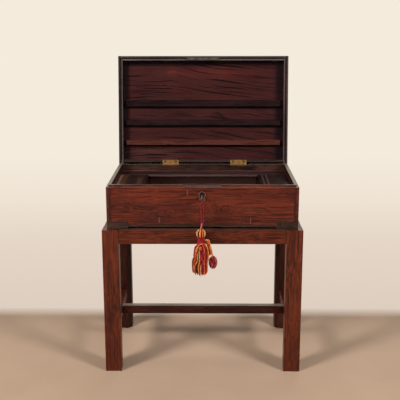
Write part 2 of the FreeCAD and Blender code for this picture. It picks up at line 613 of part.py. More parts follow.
def make_lid_back():
    back = block("lid_back", f"-1 * {INNER_X}", INNER_X, INNER_Y, HALF_BOX_DEPTH, LID_RIM, LID_WALL_TOP)
    for name, side in SIDES:
        low, high = hinge_span(side)
        cut_block(back, low, high, INNER_Y, HALF_BOX_DEPTH, LID_RIM, LID_SEAT_TOP)
        cut_block(back, low, high, LEAF_END, HALF_BOX_DEPTH, LID_SEAT_TOP, f"{PIN_Z} + {KNUCKLE_ROOM}")
        for hole_x in screw_places(side):
            cut_prism(back, "XY", [(hole_x, SCREW_Y, "screw_radius")], LID_SEAT_TOP,
                      f"{LID_RIM} + screw_length")
    open_lid(back)


def make_lid_panel_and_ledges():
    panel = block("lid_panel", f"-1 * {HALF_BOX}", HALF_BOX, f"-1 * {HALF_BOX_DEPTH}", HALF_BOX_DEPTH,
                  LID_WALL_TOP, f"{LID_WALL_TOP} + panel_thickness")
    open_lid(panel)
    for name in ("high", "middle", "low"):
        start = f"({PIN_Y} - ledge_{name}_start)"
        ledge = block("ledge_" + name, f"-1 * ({INNER_X} - ledge_end_gap)", f"{INNER_X} - ledge_end_gap",
                      f"{start} - ledge_{name}_width", start, f"{LID_WALL_TOP} - ledge_thickness", LID_WALL_TOP)
        open_lid(ledge)


# ---------------------------------------------------------------- lock
LINK_FRONT = f"({LOCK_FRONT} + lock_sheet + link_gap)"
LINK_BACK = f"({LINK_FRONT} + link_thickness)"
BOLT_BACK = f"({LOCK_BACK} - lock_sheet - bolt_gap)"
BOLT_FRONT = f"({BOLT_BACK} - bolt_thickness)"
BOLT_BOTTOM = f"({KEY_Z} + bolt_rise)"
NOSE_TOP = f"({RIM} - link_length + link_nose)"


def link_places():
    return [f"(lock_offset + {step} * link_spacing / 2)" for step in (-1, 1)]


def guide_places():
    return [f"(lock_offset - guide_offset + {step} * guide_spacing / 2)" for step in (-1, 1)]


def cut_link_slots(body, z_low, z_high):
    """Slots that let the lid's hooked links into the lock."""
    for link in link_places():
        cut_block(body, f"{link} - link_width / 2 - link_nose - link_side_gap",
                  f"{link} + link_width / 2 + link_side_gap",
                  f"{LINK_FRONT} - link_gap", f"{LINK_BACK} + link_side_gap", z_low, z_high)


def make_lock():
    """Case with its cavity and bolt guides, cover, selvage plate and bolt."""
    low_x, high_x = "lock_offset - lock_width / 2", "lock_offset + lock_width / 2"
    bottom = f"({LOCK_TOP} - lock_height)"
    cover_front = f"({LOCK_BACK} - lock_sheet)"
    case = block("lock_case", low_x, high_x, LOCK_FRONT, cover_front, bottom, LOCK_TOP)
    cavity = rectangle(f"{low_x} + lock_sheet", f"{high_x} - lock_sheet",
                       f"{bottom} + lock_sheet", f"{LOCK_TOP} - lock_sheet")
    cut_prism(case, "XZ", [cavity], f"{LOCK_FRONT} + lock_sheet", cover_front)
    guide_z = f"({RIM} - guide_drop)"
    for guide in guide_places():
        add_prism(case, "XZ", [(guide, guide_z, "guide_radius")], LOCK_FRONT, cover_front)
    cut_keyhole(case, LOCK_FRONT, f"{LOCK_FRONT} + lock_sheet")
    cut_link_slots(case, f"{LOCK_TOP} - lock_sheet", LOCK_TOP)

    cover = block("lock_cover", low_x, high_x, cover_front, LOCK_BACK, bottom, LOCK_TOP)
    cut_prism(cover, "XZ", [("lock_offset", KEY_Z, "key_radius + key_gap")], cover_front, LOCK_BACK)

    selvage = block("selvage_plate", "lock_offset - plate_length / 2", "lock_offset + plate_length / 2",
                    f"{FRONT_FACE} + plate_setback", LOCK_BACK, LOCK_TOP, RIM)
    cut_link_slots(selvage, LOCK_TOP, RIM)
    for x in plate_screw_places():
        cut_prism(selvage, "XY", [(x, PLATE_SCREW_Y, "screw_head_radius")], f"{RIM} - screw_head_depth", RIM)
        cut_prism(selvage, "XY", [(x, PLATE_SCREW_Y, "screw_radius")], LOCK_TOP, f"{RIM} - screw_head_depth")
    make_bolt(guide_z)


def make_bolt(guide_z):
    """Sliding bolt: a notched plate on two guides, with a finger for each link."""
    left_link, right_link = link_places()
    tip_step = "(link_width / 2 + link_side_gap + bolt_travel)"
    left_end = f"({left_link} - {tip_step} - finger_width)"
    right_end = f"({right_link} - {tip_step})"
    bolt = block("bolt", left_end, right_end, BOLT_FRONT, BOLT_BACK,
                 BOLT_BOTTOM, f"{BOLT_BOTTOM} + bolt_height")
    sweep = "sqrt(key_bit_length * key_bit_length - bolt_rise * bolt_rise)"
    notch = rectangle(f"lock_offset - {sweep} - bolt_travel - bolt_gap", f"lock_offset + {sweep} + bolt_gap",
                      BOLT_BOTTOM, f"{KEY_Z} + key_bit_length + bolt_gap")
    cut_prism(bolt, "XZ", [notch], BOLT_FRONT, BOLT_BACK)
    slot_half = "(guide_radius + guide_gap)"
    for guide in guide_places():
        slot = rectangle(f"{guide} - bolt_travel - {slot_half}", f"{guide} + {slot_half}",
                         f"{guide_z} - {slot_half}", f"{guide_z} + {slot_half}")
        cut_prism(bolt, "XZ", [slot], BOLT_FRONT, BOLT_BACK)
    for link in (left_link, right_link):
        tip = f"({link} - {tip_step})"
        finger = rectangle(f"{tip} - finger_width", tip, f"{NOSE_TOP} + finger_gap",
                           f"{NOSE_TOP} + finger_gap + finger_height")
        add_prism(bolt, "XZ", [finger], f"{LINK_FRONT}", BOLT_BACK)


def make_link_plate():
    """Plate in the lid's front rim with two hooked links that reach into the lock."""
    plate = block("link_plate", "lock_offset - plate_length / 2", "lock_offset + plate_length / 2",
                  f"{FRONT_FACE} + plate_setback", LOCK_BACK, LID_RIM, f"{LID_RIM} + link_plate_thickness")
    root, foot = f"{LID_RIM} + link_plate_thickness", f"({RIM} - link_length)"
    for link in link_places():
        stem_low, stem_high = f"{link} - link_width / 2", f"{link} + link_width / 2"
        nose = f"{stem_low} - link_nose"
        hook = [(stem_high, root), (stem_low, root), (stem_low, NOSE_TOP),
                (nose, NOSE_TOP), (nose, foot), (stem_high, foot)]
        add_prism(plate, "XZ", [hook], LINK_FRONT, LINK_BACK)
    for x in plate_screw_places():
        cut_prism(plate, "XY", [(x, PLATE_SCREW_Y, "screw_head_radius")],
                  LID_RIM, f"{LID_RIM} + screw_head_depth")
        cut_prism(plate, "XY", [(x, PLATE_SCREW_Y, "screw_radius")], f"{LID_RIM} + screw_head_depth",
                  f"{LID_RIM} + link_plate_thickness")
    open_lid(plate)


def make_escutcheon():
    """Keyhole plate on the box's front: a disc with a straight skirt."""
    plate = new_body("escutcheon")
    y_span = (f"{FRONT_FACE} - escutcheon_thickness", FRONT_FACE)
    add_prism(plate, "XZ", [("lock_offset", KEY_Z, "escutcheon_radius")], *y_span)
    skirt = rectangle("lock_offset - escutcheon_skirt / 2", "lock_offset + escutcheon_skirt / 2",
                      f"{KEY_Z} - escutcheon_length", KEY_Z)
    add_prism(plate, "XZ", [skirt], *y_span)
    cut_keyhole(plate, *y_span)


def make_key():
    """Key with a ring bow that holds the cord's loop, a collar, a shank and one bit."""
    shank_end = f"({LOCK_BACK} - lock_sheet / 2)"
    shank_start = f"({BOW_Y} + bow_radius)"
    shank = cylinder("key_radius", f"{shank_end} - {shank_start}", ("lock_offset", shank_start, KEY_Z),
                     axis=(0, 1, 0))
    collar = cylinder("collar_radius", "collar_length",
                      ("lock_offset", f"{shank_start} + collar_inset", KEY_Z), axis=(0, 1, 0))
    bow = document.addObject("Part::Torus", "Torus")
    bow.Placement = FreeCAD.Placement(FreeCAD.Vector(), FreeCAD.Rotation(FreeCAD.Vector(0, 1, 0), 90))
    bow.setExpression("Radius1", linked("bow_radius"))
    bow.setExpression("Radius2", linked("bow_bar_radius"))
    place_at(bow, "lock_offset", BOW_Y, KEY_Z)
    bit = document.addObject("Part::Box", "Bit")
    bit.setExpression("Length", linked("key_bit_thickness"))
    bit.setExpression("Width", linked("key_bit_depth"))
    bit.setExpression("Height", linked("key_bit_length"))
    place_at(bit, "lock_offset - key_bit_thickness / 2",
             f"({LOCK_FRONT} + {LOCK_BACK} - key_bit_depth) / 2", f"{KEY_Z} - key_bit_length")
    keep(fused([shank, collar, bow, bit]), "key")


# ---------------------------------------------------------------- cord and tassel
SAME_POINT = 1e-6


def tube_along(route, diameter, ratio=0.45):
    """Round tube along straight runs joined by tangent arcs, one arc at each inner point."""
    edges = []
    start = route[0]
    length = 0
    radii = []
    for before, corner, after in zip(route, route[1:], route[2:]):
        back = before - corner
        ahead = after - corner
        turn = math.pi - back.getAngle(ahead)
        reach = ratio * min(back.Length, ahead.Length)
        radius = reach / math.tan(turn / 2)
        entry = corner + FreeCAD.Vector(back).normalize() * reach
        leave = corner + FreeCAD.Vector(ahead).normalize() * reach
        towards = (FreeCAD.Vector(back).normalize() + FreeCAD.Vector(ahead).normalize()).normalize()
        centre = corner + towards * (radius / math.cos(turn / 2))
        middle = centre - towards * radius
        if (entry - start).Length > SAME_POINT:
            edges.append(Part.LineSegment(start, entry).toShape())
        edges.append(Part.Arc(entry, middle, leave).toShape())
        length += (entry - start).Length + radius * turn
        radii.append(round(radius, 1))
        start = leave
    edges.append(Part.LineSegment(start, route[-1]).toShape())
    length += (route[-1] - start).Length
    path = Part.Wire(edges)
    ring = Part.Wire(Part.makeCircle(diameter / 2, route[0], route[1] - route[0]))
    tube = path.makePipeShell([ring], True, True)
    section = math.pi * diameter * diameter / 4
    fullness = round(tube.Volume / section / length, 4)
    print("tube", round(length, 1), "mm, radii", radii, "volume ratio", fullness)
    return tube


def keep_shape(shape, label):
    item = document.addObject("Part::Feature", "Feature")
    item.Shape = shape
    return keep(item, label)


def make_key_cord():
    """Doubled cord: up from the tassel, through the key's bow over its lower bar, and down again."""
    key_x, tassel_x = number("lock_offset"), number(TASSEL_X)
    bow_y, bar_z = number(BOW_Y), number(BAR_Z)
    arm = number("bow_bar_radius + cord_gap + cord_diameter / 2")
    splay, start_z = number("cord_splay"), number(f"{HEAD_TOP} - cord_tuck")
    bend_z = bar_z - number("cord_bend")
    foot_x, waist_z = tassel_x + number("cord_lean"), bar_z - number("cord_waist_drop")
    points = [(foot_x - splay, start_z), (key_x - arm + number("cord_waist_left"), waist_z),
              (key_x - arm, bend_z), (key_x - arm, bar_z + arm),
              (key_x + arm, bar_z + arm), (key_x + arm, bend_z),
              (key_x + arm - number("cord_waist_right"), waist_z), (foot_x + splay, start_z)]
    route = [FreeCAD.Vector(x, bow_y, z) for x, z in points]
    keep_shape(tube_along(route, number("cord_diameter")), "key_cord")


def make_tassel():
    """Tassel: padded head, bound neck and a skirt of strands that flares, then hangs straight."""
    head_middle = f"({HEAD_TOP} - tassel_head_height / 2)"
    keep(ellipsoid("tassel_head_height / 2", "tassel_head_radius", (TASSEL_X, BOW_Y, head_middle)),
         "tassel_head")
    keep(cylinder("tassel_neck_radius", "tassel_neck_height + tassel_bind", (TASSEL_X, BOW_Y, NECK_BOTTOM)),
         "tassel_neck")
    flare = document.addObject("Part::Cone", "Cone")
    flare.setExpression("Radius1", linked("skirt_radius"))
    flare.setExpression("Radius2", linked("tassel_neck_radius"))
    flare.setExpression("Height", linked("skirt_flare"))
    place_at(flare, TASSEL_X, BOW_Y, f"{NECK_BOTTOM} - skirt_flare")
    skirt_end = (TASSEL_X, BOW_Y, f"{NECK_BOTTOM} - skirt_height")
    fall = cylinder("skirt_radius", "skirt_height - skirt_flare", skirt_end)
    keep(fused([flare, fall]), "tassel_skirt")


def make_pendant():
    """Small pompom on a cord of its own that leaves the side of the tassel's neck."""
    pompom_x = f"({TASSEL_X} + pompom_offset)"
    pompom_top = f"({NECK_BOTTOM} - pompom_drop)"
    pompom_middle = f"({pompom_top} - pompom_height / 2)"
    keep(ellipsoid("pompom_height / 2", "pompom_radius", (pompom_x, BOW_Y, pompom_middle)),
         "pendant_pompom")
    tuck, rise = number("pendant_tuck"), number("pendant_rise")
    start_x = number(f"{TASSEL_X} + tassel_neck_radius") - tuck
    end_x, end_z = number(pompom_x), number(pompom_top) - tuck
    start_z = number(f"{NECK_BOTTOM} + tassel_neck_height / 2") - tuck
    shoulder_z = start_z - number("pendant_fall") + rise
    points = [(start_x, start_z), (start_x + number("pendant_reach"), start_z + rise),
              (end_x - number("pendant_lean"), shoulder_z), (end_x, end_z)]
    route = [FreeCAD.Vector(x, number(BOW_Y), z) for x, z in points]
    keep_shape(tube_along(route, number("pendant_diameter")), "pendant_cord")


# ---------------------------------------------------------------- build
def build():
    for name, x_side, y_side in CORNERS:
        make_leg(name, x_side, y_side)
    make_aprons()
    make_stretchers()
    make_corner_blocks()
    make_feet()
    make_bottom()
    make_battens()
    for name, side in SIDES:
        make_side_wall(name, side)
        make_lid_side(name, side)
    make_front_wall()
    make_back_wall()
    make_fittings()
    make_hinges()
    make_screws()
    make_lid_front()
    make_lid_back()
    make_lid_panel_and_ledges()
    make_lock()
    make_link_plate()
    make_escutcheon()
    make_key()
    make_key_cord()
    make_tassel()
    make_pendant()
    document.recompute()


def check_and_write():
    """Stop on any failed object or bad solid, then write one STEP file per sub-part."""
    for item in document.Objects:
        if "Invalid" in item.State or "Error" in item.State:
            raise RuntimeError("failed object: " + item.Label + " " + str(item.State))
    for item in sub_parts:
        if item.Shape.isNull() or not item.Shape.isValid():
            raise RuntimeError("bad shape: " + item.Label)
    os.makedirs("parts", exist_ok=True)
    for item in sub_parts:
        item.Shape.exportStep(os.path.join("parts", item.Label + ".step"))
    print(len(sub_parts), "sub-parts written")


build()
check_and_write()
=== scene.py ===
"""Campaign desk: a dark wooden writing box, open on its four-legged stand, with key and tassel.

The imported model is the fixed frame. The wooden boards are dressed copies of its nodes with eased
edges, and the cord, the tassel and its pendant are built here from twisted threads. Units are
metres, unless a comment says millimetres.
"""
import json
import random
from math import cos, pi, radians, sin, sqrt, tau

import bmesh
import bpy
from mathutils import Matrix, Vector

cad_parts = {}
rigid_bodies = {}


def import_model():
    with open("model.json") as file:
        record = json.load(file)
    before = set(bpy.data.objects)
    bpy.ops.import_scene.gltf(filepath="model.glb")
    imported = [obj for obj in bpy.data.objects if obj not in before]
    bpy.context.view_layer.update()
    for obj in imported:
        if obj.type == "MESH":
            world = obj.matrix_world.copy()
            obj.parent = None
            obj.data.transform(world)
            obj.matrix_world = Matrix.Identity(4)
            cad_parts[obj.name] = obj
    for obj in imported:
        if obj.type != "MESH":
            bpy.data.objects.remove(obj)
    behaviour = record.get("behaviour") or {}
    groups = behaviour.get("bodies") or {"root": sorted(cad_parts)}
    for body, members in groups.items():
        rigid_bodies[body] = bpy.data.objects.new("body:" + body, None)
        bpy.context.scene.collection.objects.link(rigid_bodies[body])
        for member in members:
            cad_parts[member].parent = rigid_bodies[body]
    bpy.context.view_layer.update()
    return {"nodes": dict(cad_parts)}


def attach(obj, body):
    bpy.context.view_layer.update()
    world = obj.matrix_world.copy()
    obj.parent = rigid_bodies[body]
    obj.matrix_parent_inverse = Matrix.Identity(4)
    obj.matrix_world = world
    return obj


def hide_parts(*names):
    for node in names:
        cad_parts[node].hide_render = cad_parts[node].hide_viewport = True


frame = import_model()
NODES = frame["nodes"]
BODY_OF = {node: piece.parent.name.split(":")[1] for node, piece in NODES.items()}

X, Y, Z = (1, 0, 0), (0, 1, 0), (0, 0, 1)
TINY = 1e-9


def mm(*values):
    """Millimetres as metres."""
    return tuple(value / 1000 for value in values)


def rgb(red, green, blue):
    """A colour written as screen values from 0 to 255, as linear light."""
    def linear(value):
        value /= 255
        return value / 12.92 if value <= 0.04045 else ((value + 0.055) / 1.055) ** 2.4
    return (linear(red), linear(green), linear(blue), 1.0)


def new_object(name, data):
    """A new object, linked to the scene."""
    made = bpy.data.objects.new(name, data)
    bpy.context.scene.collection.objects.link(made)
    return made


def shares(steps):
    """Even shares of a whole, from 0 to 1."""
    return [step / steps for step in range(steps + 1)]


# ---- camera

CAMERA_PLACE = (0.0152365, -2.2233135, 0.9891659)
CAMERA_PITCH, CAMERA_YAW, CAMERA_ROLL = 0.2357851, -0.0105692, -0.0013563
CAMERA_LENS, CAMERA_SENSOR = 70.727, 36.0


def make_camera():
    """The photograph's camera, as a place, a yaw, a pitch below the horizon and a small roll."""
    lens = bpy.data.cameras.new("camera")
    lens.lens, lens.sensor_width = CAMERA_LENS, CAMERA_SENSOR
    camera = new_object("camera", lens)
    turn = (Matrix.Rotation(-CAMERA_YAW, 4, "Z") @ Matrix.Rotation(pi / 2 - CAMERA_PITCH, 4, "X")
            @ Matrix.Rotation(CAMERA_ROLL, 4, "Z"))
    camera.matrix_world = Matrix.Translation(CAMERA_PLACE) @ turn
    bpy.context.scene.camera = camera


# ---- materials

# Sockets of a colour Mix node, which shares their names with its plain values
MIX_FIRST, MIX_SECOND, MIX_RESULT = 6, 7, 2


class Tree:
    """Short ways to add nodes to one node tree and to join them."""

    def __init__(self, tree):
        self.nodes, self.links = tree.nodes, tree.links

    def add(self, kind, inputs=(), **settings):
        """A new shader node with its settings and inputs."""
        node = self.nodes.new("ShaderNode" + kind)
        for name, value in settings.items():
            setattr(node, name, value)
        self.fill(node, dict(inputs))
        return node

    def fill(self, node, inputs):
        """Join a node's inputs to other sockets, or give them plain values."""
        for name, value in inputs.items():
            if isinstance(value, bpy.types.NodeSocket):
                self.links.new(value, node.inputs[name])
            else:
                node.inputs[name].default_value = value

    def place(self, output="Object"):
        """Where the shaded point is, or with "Normal", where it faces."""
        return self.add("TexCoord").outputs[output]

    def math(self, operation, first, second=0.0):
        return self.add("Math", {0: first, 1: second}, operation=operation).outputs[0]

    def times(self, first, second):
        return self.math("MULTIPLY", first, second)

    def minus(self, first, second):
        return self.math("SUBTRACT", first, second)

    def vector(self, operation, first, second=(0, 0, 0)):
        node = self.add("VectorMath", {0: first, 1: second}, operation=operation)
        return node.outputs["Value" if operation in ("DOT_PRODUCT", "LENGTH") else "Vector"]

    def along(self, place, direction):
        """How far a place lies along a direction."""
        return self.vector("DOT_PRODUCT", place, direction)

    def total(self, *parts):
        """Sum of (value, weight) pairs."""
        whole = None
        for value, weight in parts:
            part = self.times(value, weight)
            whole = part if whole is None else self.math("ADD", whole, part)
        return whole

    def noise(self, place, scale, detail=3.0, roughness=0.5):
        node = self.add("TexNoise", {"Vector": place, "Scale": scale, "Detail": detail,
                                     "Roughness": roughness})
        return node.outputs["Fac"]

    def drawn_noise(self, place, along, across, detail, roughness):
        """Noise drawn out along X, with its scale along and across that line."""
        stretched = self.vector("MULTIPLY", place, (along, across, across))
        return self.noise(stretched, 1.0, detail, roughness)

    def spread(self, value, low, high, to_low=0.0, to_high=1.0):
        """A value's range mapped to another range, and held at its ends."""
        node = self.add("MapRange", {"Value": value, "From Min": low, "From Max": high,
                                     "To Min": to_low, "To Max": to_high}, clamp=True)
        return node.outputs["Result"]

    def ramp(self, value, stops):
        """A colour by a value, from (position, colour) pairs."""
        node = self.add("ValToRGB", {"Fac": value})
        elements = node.color_ramp.elements
        while len(elements) < len(stops):
            elements.new(0.5)
        for element, (position, colour) in zip(elements, stops):
            element.position, element.color = position, colour
        return node.outputs["Color"]

    def mix(self, factor, first, second):
        """The first colour, with a share of the second."""
        node = self.add("Mix", data_type="RGBA")
        self.fill(node, {"Factor": factor, MIX_FIRST: first, MIX_SECOND: second})
        return node.outputs[MIX_RESULT]

    def bump(self, surface, height, strength, distance):
        """Small relief on a surface, from a height."""
        node = self.add("Bump", {"Height": height, "Strength": strength, "Distance": distance})
        self.links.new(node.outputs["Normal"], surface.inputs["Normal"])


def new_material(name):
    """A new material, its node tree and its surface shader."""
    material = bpy.data.materials.new(name)
    material.use_nodes = True
    tree = Tree(material.node_tree)
    return material, tree, tree.nodes["Principled BSDF"]


# ---- studio

WALL = rgb(244, 235, 220)
ROOM_COLOUR, ROOM_STRENGTH = (1.0, 0.98, 0.96, 1), 0.055
# What gloss shows of the room: its strength from in front to behind, and what height adds to it
GLOSS_DEPTH, GLOSS_STRENGTH = (-0.2, 0.7), (0.1, 0.9)
GLOSS_HEIGHT, GLOSS_ADDED = (0.2, 1.0), (0.0, 0.2)
# Tones of the backdrop, by how far behind the middle of the floor they lie
WALL_STEPS = ((0.24, rgb(221, 205, 190)), (0.6, rgb(225, 209, 195)), (1.15, rgb(229, 214, 200)),
              (1.9, rgb(239, 227, 212)), (3.2, WALL))
FLOOR_RADIUS, FLOOR_SIDES = 4.0, 96
FLOOR_DARK, FLOOR_LIGHT = rgb(210, 178, 151), rgb(227, 195, 168)
FLOOR_GRAIN = 6.0
FLOOR_FADE, WALL_FADE = (1.2, 3.2), (0.23, 0.31)
# Name, place, point that it faces, size, watts, colour and whether gloss shows it
LAMPS = (
    ("left_light", (-2.1, -2.1, 2.1), (0, 0, 0.5), (0.7, 0.7), 66, (1.0, 0.97, 0.93), True),
    ("right_light", (2.1, -2.1, 2.1), (0, 0, 0.5), (0.7, 0.7), 54, (1.0, 0.98, 0.96), True),
    ("fill_light", (0, -2.9, 1.25), (0, 0, 0.5), (0.9, 0.5), 5, (1, 1, 1), False),
    ("back_light", (0.4, 2.2, 2.4), (0, 0, 0.6), (2.2, 1.2), 16, (1, 1, 1), True),
)


def make_world():
    """A pale room: cream where the camera looks, soft and neutral where it lights."""
    world = bpy.data.worlds.new("room")
    bpy.context.scene.world = world
    world.use_nodes = True
    tree = Tree(world.node_tree)
    tree.nodes.clear()
    path = tree.add("LightPath")
    place = tree.place("Generated")
    behind = tree.spread(tree.along(place, Y), *GLOSS_DEPTH, *GLOSS_STRENGTH)
    above = tree.spread(tree.along(place, Z), *GLOSS_HEIGHT, *GLOSS_ADDED)
    glossy = tree.add("Background", {"Color": WALL, "Strength": tree.math("ADD", behind, above)})
    seen = tree.add("Background", {"Color": WALL, "Strength": 1.0})
    light = tree.add("Background", {"Color": ROOM_COLOUR, "Strength": ROOM_STRENGTH})
    shine = tree.add("MixShader", {0: path.outputs["Is Glossy Ray"], 1: light.outputs[0],
                                   2: glossy.outputs[0]})
    whole = tree.add("MixShader", {0: path.outputs["Is Camera Ray"], 1: shine.outputs[0],
                                   2: seen.outputs[0]})
    tree.add("OutputWorld", {0: whole.outputs[0]})


def make_floor():
    """A plain pale floor that fades into the room's colour away from the object."""
    mesh = bpy.data.meshes.new("floor")
    shape = bmesh.new()
    bmesh.ops.create_circle(shape, cap_ends=True, segments=FLOOR_SIDES, radius=FLOOR_RADIUS)
    shape.to_mesh(mesh)
    shape.free()
    floor = new_object("floor", mesh)
    material, tree, surface = new_material("pale_floor")
    place = tree.place()
    depth = tree.along(place, Y)
    away = tree.math("MAXIMUM", tree.spread(tree.vector("LENGTH", place), *FLOOR_FADE),
                     tree.spread(depth, *WALL_FADE))
    colour = tree.mix(tree.noise(place, FLOOR_GRAIN, 4.0), FLOOR_DARK, FLOOR_LIGHT)
    tree.fill(surface, {"Base Color": colour, "Roughness": 0.9, "Specular IOR Level": 0.1})
    reach = WALL_STEPS[-1][0]
    faded_wall = tree.ramp(tree.math("DIVIDE", depth, reach),
                           [(step / reach, tone) for step, tone in WALL_STEPS])
    glow = tree.add("Emission", {"Color": faded_wall, "Strength": 1.0})
    light_path = tree.add("LightPath")
    faded = tree.times(away, light_path.outputs["Is Camera Ray"])
    mixed = tree.add("MixShader", {0: faded, 1: surface.outputs[0], 2: glow.outputs[0]})
    tree.fill(tree.nodes["Material Output"], {"Surface": mixed.outputs[0]})
    mesh.materials.append(material)


def add_lamp(name, place, aim, size, power, colour, glossy):
    """A rectangular lamp that faces a point."""
    lamp = bpy.data.lights.new(name, "AREA")
    lamp.shape, (lamp.size, lamp.size_y) = "RECTANGLE", size
    lamp.energy, lamp.color = power, colour
    holder = new_object(name, lamp)
    away = Vector(place) - Vector(aim)
    turn = away.to_track_quat("Z", "Y").to_matrix().to_4x4()
    holder.matrix_world = Matrix.Translation(place) @ turn
    holder.visible_glossy = glossy


# ---- meshes of threads

ROUTE_STEPS = 24
STEPS_PER_TURN, STRAND_SWELL = 9, 1.06


class Builder:
    """Collects the vertices and faces of one piece."""

    def __init__(self):
        self.points, self.faces, self.slots = [], [], []

    def join_rings(self, start, rings, sides, tone):
        """Faces between rings of points, of which the first begins at start, and over both ends."""
        for index in range(rings - 1):
            for step in range(sides):
                a = start + index * sides + step
                b = start + index * sides + (step + 1) % sides
                self.faces.append((a, b, b + sides, a + sides))
        last = start + (rings - 1) * sides
        self.faces.append(tuple(range(start + sides - 1, start - 1, -1)))
        self.faces.append(tuple(range(last, last + sides)))
        self.slots += [list(THREADS).index(tone)] * ((rings - 1) * sides + 2)

    def ring(self, centre, radius, side, other, sides):
        for step in range(sides):
            angle = tau * step / sides
            out = cos(angle) * side + sin(angle) * other
            self.points.append(centre + radius * out)

    def tube(self, centres, radii, sides, tone):
        """A closed tube round a line of points, with one radius or one for each point."""
        start = len(self.points)
        if not hasattr(radii, "__len__"):
            radii = [radii] * len(centres)
        for centre, radius, across in zip(centres, radii, frames_along(centres)):
            self.ring(centre, radius, *across, sides)
        self.join_rings(start, len(centres), sides, tone)

    def lathe(self, profile, place, sides, tone):
        """A turned shape from (radius, height) pairs, closed at both ends."""
        start = len(self.points)
        for radius, height in profile:
            centre = Vector(place) + Vector((0, 0, height))
            self.ring(centre, radius, Vector(X), Vector(Y), sides)
        self.join_rings(start, len(profile), sides, tone)

    def piece(self, name, node, slot):
        """The piece on the tassel, in a node's place, with a material slot for each thread."""
        mesh = bpy.data.meshes.new(name)
        mesh.from_pydata([tuple(p) for p in self.points], [], self.faces)
        for material in THREADS.values():
            mesh.materials.append(material)
        mesh.polygons.foreach_set("material_index", self.slots)
        mesh.polygons.foreach_set("use_smooth", [True] * len(mesh.polygons))
        mesh.update()
        made = new_object(name, mesh)
        stand_in(made, "tassel", node)
        return made


def route_points(route):
    """Points along the smooth NURBS line that a route's points control."""
    curve = bpy.data.curves.new("route", "CURVE")
    curve.dimensions, curve.resolution_u = "3D", ROUTE_STEPS
    spline = curve.splines.new("NURBS")
    spline.points.add(len(route) - 1)
    for point, place in zip(spline.points, route):
        point.co = (*place, 1.0)
    spline.order_u = 3
    spline.use_endpoint_u = True
    guide = new_object("route", curve)
    mesh = bpy.data.meshes.new_from_object(guide)
    line = [vertex.co.copy() for vertex in mesh.vertices]
    bpy.data.objects.remove(guide)
    bpy.data.meshes.remove(mesh)
    bpy.data.curves.remove(curve)
    return line


def even(line, step):
    """The line again, with points an even step apart."""
    lengths = [0.0]
    for first, second in zip(line, line[1:]):
        lengths.append(lengths[-1] + (second - first).length)
    count = max(2, round(lengths[-1] / step))
    out, index = [], 0
    for part in shares(count):
        reach = lengths[-1] * part
        while index < len(line) - 2 and lengths[index + 1] < reach:
            index += 1
        span = lengths[index + 1] - lengths[index]
        share = 0 if span < TINY else (reach - lengths[index]) / span
        out.append(line[index].lerp(line[index + 1], min(max(share, 0), 1)))
    return out


def frames_along(line):
    """For each point, the two directions across the line, carried along it."""
    out, side = [], None
    for index in range(len(line)):
        ahead = (line[min(index + 1, len(line) - 1)] - line[max(index - 1, 0)]).normalized()
        if side is None:
            guess = Vector(Y if abs(ahead.y) < 0.9 else X)
            side = ahead.cross(guess).normalized()
        side = (side - ahead * side.dot(ahead)).normalized()
        out.append((side.copy(), ahead.cross(side)))
    return out


def twist(build, line, radius, pitch, tones, sides=7, start=0.0):
    """A rope laid round a line, with a strand for each tone: each touches its neighbours."""
    share = sin(pi / len(tones))
    thin = radius * share / (1 + share)
    reach = radius - thin
    step = pitch / STEPS_PER_TURN
    points = even(line, step)
    across = frames_along(points)
    for strand, tone in enumerate(tones):
        centres = []
        for index, (point, (one, other)) in enumerate(zip(points, across)):
            angle = start + tau * (strand / len(tones) + index * step / pitch)
            centres.append(point + reach * (cos(angle) * one + sin(angle) * other))
        build.tube(centres, thin * STRAND_SWELL, sides, tone)


def smooth_line(points, count):
    """A smooth line through given points, by Catmull-Rom."""
    out = []
    padded = [points[0] * 2 - points[1], *points, points[-1] * 2 - points[-2]]
    for index in range(1, len(padded) - 2):
        a, b, c, d = padded[index - 1:index + 3]
        for step in range(count):
            t = step / count
            out.append(0.5 * ((2 * b) + (c - a) * t + (2 * a - 5 * b + 4 * c - d) * t * t
                              + (3 * b - a - 3 * c + d) * t ** 3))
    out.append(padded[-2].copy())
    return out


def stand_in(piece, body, node):
    """Let a piece ride on a body and stand for a node, which it hides."""
    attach(piece, body)
    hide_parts(node)


# ---- threads

# The silk's broad and fine noise: scale, octaves, strength of the fine ones
SILK_BROAD, SILK_FINE = (260.0, 3.0, 0.5), (2400.0, 2.0, 0.6)
SILK_DARK, SILK_LIGHT = 0.32, 0.62
SILK_ROUGHNESS = (0.42, 0.6)


def thread_material(name, dark, light):
    """Silky thread: fibres along the yarn, deeper colour in places, a soft sheen."""
    material, tree, surface = new_material(name)
    place = tree.place()
    broad = tree.noise(place, *SILK_BROAD)
    fine = tree.noise(place, *SILK_FINE)
    tone = tree.total((broad, 0.65), (fine, 0.35))
    tree.fill(surface, {
        "Base Color": tree.ramp(tone, [(SILK_DARK, rgb(*dark)), (SILK_LIGHT, rgb(*light))]),
        "Roughness": tree.spread(fine, 0.3, 0.7, *SILK_ROUGHNESS),
        "Specular IOR Level": 0.2, "Sheen Weight": 0.12, "Sheen Roughness": 0.4})
    tree.bump(surface, fine, 0.35, 0.0002)
    return material


